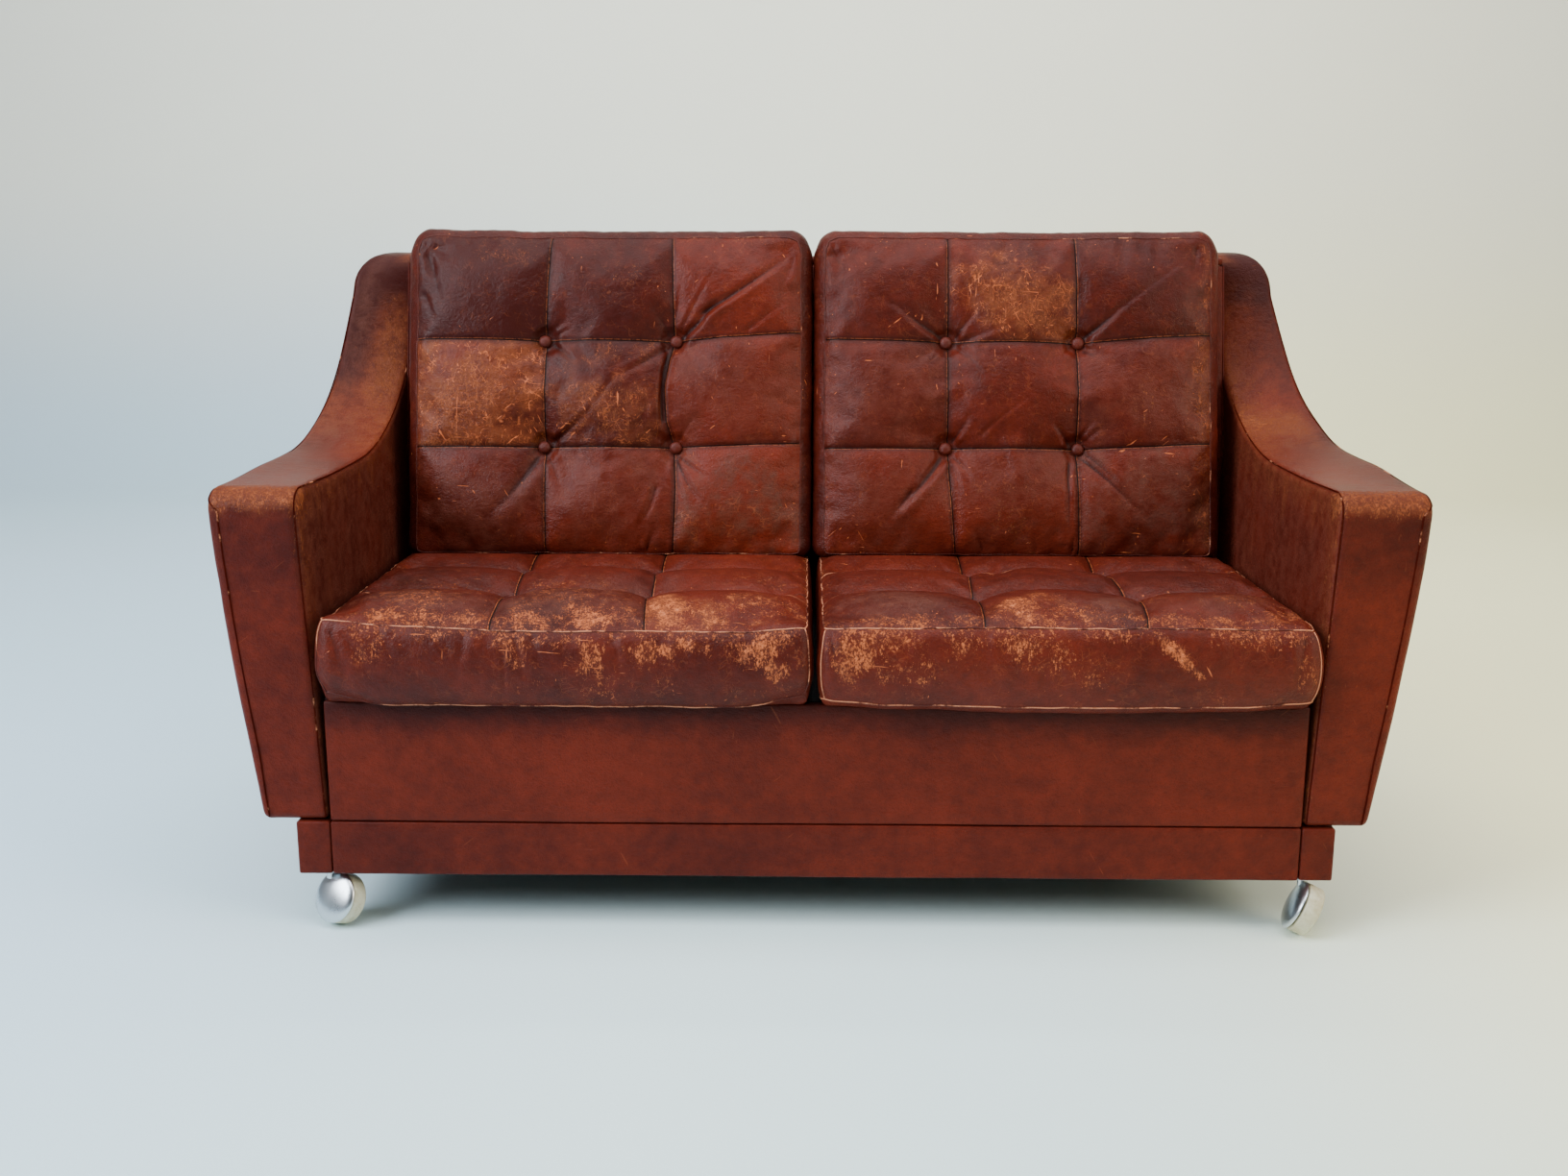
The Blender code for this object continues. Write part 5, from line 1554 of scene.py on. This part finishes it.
def build_floor():
    """A pale floor that curves up into a far backdrop."""
    made = bmesh.new()
    profile = [(-7.0, 0.0), (3.2, 0.0)]
    profile += [(3.2 + math.sin(a), 1 - math.cos(a)) for a in np.linspace(0.1, math.pi / 2, 12)]
    profile += [(4.2, 5.5)]
    verts = [made.verts.new((-6.5, y, z)) for y, z in profile]
    edges = [made.edges.new(pair) for pair in zip(verts, verts[1:])]
    moved = bmesh.ops.extrude_edge_only(made, edges=edges)["geom"]
    bmesh.ops.translate(made, vec=(13, 0, 0), verts=verts_of(moved))
    bmesh.ops.recalc_face_normals(made, faces=made.faces)
    paint_coat, tree, shader, place = new_material("studio_floor")
    across, _, up = (Value(part) for part in node(tree, "SeparateXYZ", {"Vector": place}).outputs)
    # Painted light: a cool tint on the left and a warm tint on the right
    tone = mixed(tree, across.ramp(-1.3, 0.0), FLOOR_COOL_PAINTED_LIGHT, colours().floor)
    tone = mixed(tree, across.ramp(0.1, 1.3), tone, FLOOR_WARM_PAINTED_LIGHT)
    tone = mixed(tree, up.ramp(0.0, 1.2), tone, BACKDROP_TOP)
    cloudy = mixed(tree, noise_node(tree, place, 3.0, 3.0), tone, mixed(tree, 0.05, tone, (0.4, 0.4, 0.4)))
    set_surface(tree, shader, {
        "Base Color": cloudy, "Roughness": 0.85,
        "Normal": bumped(tree, noise_node(tree, place, 220.0, 3.0), 0.0008, 0.3)})
    floor = new_piece("studio_floor", made, body=None, finish=paint_coat)


def area_light(name, place, aim, size, power, shade, glossy=True):
    light = bpy.data.lights.new(name, "AREA")
    light.shape = "RECTANGLE"
    light.size, light.size_y = size
    light.energy = power
    light.color = shade
    obj = bpy.data.objects.new(name, light)
    obj.location = place
    obj.rotation_euler = (Vector(aim) - Vector(place)).to_track_quat("-Z", "Y").to_euler()
    obj.visible_glossy = glossy
    bpy.context.scene.collection.objects.link(obj)


def build_lights():
    area_light("window_light", (-3.0, -1.9, 2.4), (0.0, 0.0, 0.45), (2.4, 2.0), 235, (0.84, 0.92, 1.0))
    area_light("front_light", (-0.9, -3.9, 2.9), (0.0, 0.0, 0.45), (2.2, 1.2), 14, (0.92, 0.96, 1.0), False)
    area_light("warm_fill", (3.2, -1.6, 1.9), (0.0, 0.0, 0.4), (2.4, 2.0), 95, (1.0, 0.91, 0.76))
    area_light("top_light", (0.0, -0.8, 3.6), (0.0, 0.0, 0.4), (3.4, 2.4), 128, (0.97, 0.98, 1.0))
    area_light("backdrop_light", (0.0, 1.6, 3.6), (0.0, 4.2, 1.2), (5.0, 1.5), 130, (1.0, 0.99, 0.96))
    world = bpy.data.worlds.new("studio")
    world.use_nodes = True
    tree = world.node_tree
    way = node(tree, "TexCoord").outputs["Generated"]
    _, back, up = (Value(part) for part in node(tree, "SeparateXYZ", {"Vector": way}).outputs)
    seen = Value(node(tree, "LightPath").outputs["Is Camera Ray"])
    set_surface(tree, tree.nodes["Background"], {
        "Color": (0.92, 0.95, 1.0, 1.0),
        "Strength": (up + back * 0.6).ramp(-0.1, 1.1, 0.03, 0.50) + seen * 0.62})
    bpy.context.scene.world = world


def build_camera():
    lens = bpy.data.cameras.new("camera")
    lens.lens, lens.sensor_width = 36.397, 36.0
    camera = bpy.data.objects.new("camera", lens)
    yaw, pitch, roll = 0.0126, 0.215, 0.0027
    camera.matrix_world = (Matrix.Translation((-0.015, -2.2441, 0.8633)) @ Matrix.Rotation(yaw, 4, "Z")
                           @ Matrix.Rotation(math.pi / 2 - pitch, 4, "X") @ Matrix.Rotation(roll, 4, "Z"))
    bpy.context.scene.collection.objects.link(camera)
    bpy.context.scene.camera = camera


# ---------------------------------------------------------------- operators


class SOFA_OT_stage(bpy.types.Operator):
    """Add the camera, the lights and a pale floor"""
    bl_idname = "sofa.stage"
    bl_label = "Stage"

    def execute(self, context):
        build_camera()
        build_lights()
        build_floor()
        return {"FINISHED"}


class SOFA_OT_back_cushions(bpy.types.Operator):
    """Build the two buttoned back cushions"""
    bl_idname = "sofa.back_cushions"
    bl_label = "Back cushions"

    def execute(self, context):
        build_cushion("back", "left", 11)
        build_cushion("back", "right", 23)
        return {"FINISHED"}


class SOFA_OT_seat_cushions(bpy.types.Operator):
    """Build the two seat cushions"""
    bl_idname = "sofa.seat_cushions"
    bl_label = "Seat cushions"

    def execute(self, context):
        build_cushion("seat", "left", 31)
        build_cushion("seat", "right", 47)
        return {"FINISHED"}


class SOFA_OT_arms(bpy.types.Operator):
    """Build the two padded arms and their raised seams"""
    bl_idname = "sofa.arms"
    bl_label = "Arms"

    def execute(self, context):
        for word in WORDS:
            build_arm(word)
        return {"FINISHED"}


class SOFA_OT_base(bpy.types.Operator):
    """Build the front panel and the plinth"""
    bl_idname = "sofa.base"
    bl_label = "Base"

    def execute(self, context):
        build_base()
        return {"FINISHED"}


class SOFA_OT_back(bpy.types.Operator):
    """Build the leather of the back"""
    bl_idname = "sofa.back"
    bl_label = "Back"

    def execute(self, context):
        build_back()
        return {"FINISHED"}


class SOFA_OT_castors(bpy.types.Operator):
    """Build the four hooded castors"""
    bl_idname = "sofa.castors"
    bl_label = "Castors"

    def execute(self, context):
        for corner in ROLLS:
            build_castor(corner)
        return {"FINISHED"}


class SOFA_OT_frame_finish(bpy.types.Operator):
    """Finish the timber, cloth and steel that the frame brings"""
    bl_idname = "sofa.frame_finish"
    bl_label = "Frame finish"

    def execute(self, context):
        finish_frame()
        return {"FINISHED"}


class SOFA_PT_panel(bpy.types.Panel):
    bl_idname = "SOFA_PT_panel"
    bl_label = "Worn leather sofa"
    bl_space_type = "VIEW_3D"
    bl_region_type = "UI"
    bl_category = "Sofa"

    def draw(self, context):
        for group in (context.scene.sofa_sizes, context.scene.sofa_colours):
            for name in group.bl_rna.properties.keys():
                if name not in ("rna_type", "name"):
                    self.layout.prop(group, name)
        for step in STEPS:
            self.layout.operator(step.bl_idname)


STEPS = (SOFA_OT_stage, SOFA_OT_arms, SOFA_OT_base, SOFA_OT_back, SOFA_OT_back_cushions,
         SOFA_OT_seat_cushions, SOFA_OT_castors, SOFA_OT_frame_finish)
CLASSES = (SofaSizes, SofaColours, *STEPS, SOFA_PT_panel)


def register():
    for each in CLASSES:
        bpy.utils.register_class(each)
    bpy.types.Scene.sofa_sizes = bpy.props.PointerProperty(type=SofaSizes)
    bpy.types.Scene.sofa_colours = bpy.props.PointerProperty(type=SofaColours)


def unregister():
    del bpy.types.Scene.sofa_sizes
    del bpy.types.Scene.sofa_colours
    for each in reversed(CLASSES):
        bpy.utils.unregister_class(each)


def main():
    register()
    for step in STEPS:
        group, name = step.bl_idname.split(".")
        getattr(getattr(bpy.ops, group), name)()


if __name__ == "__main__":
    main()
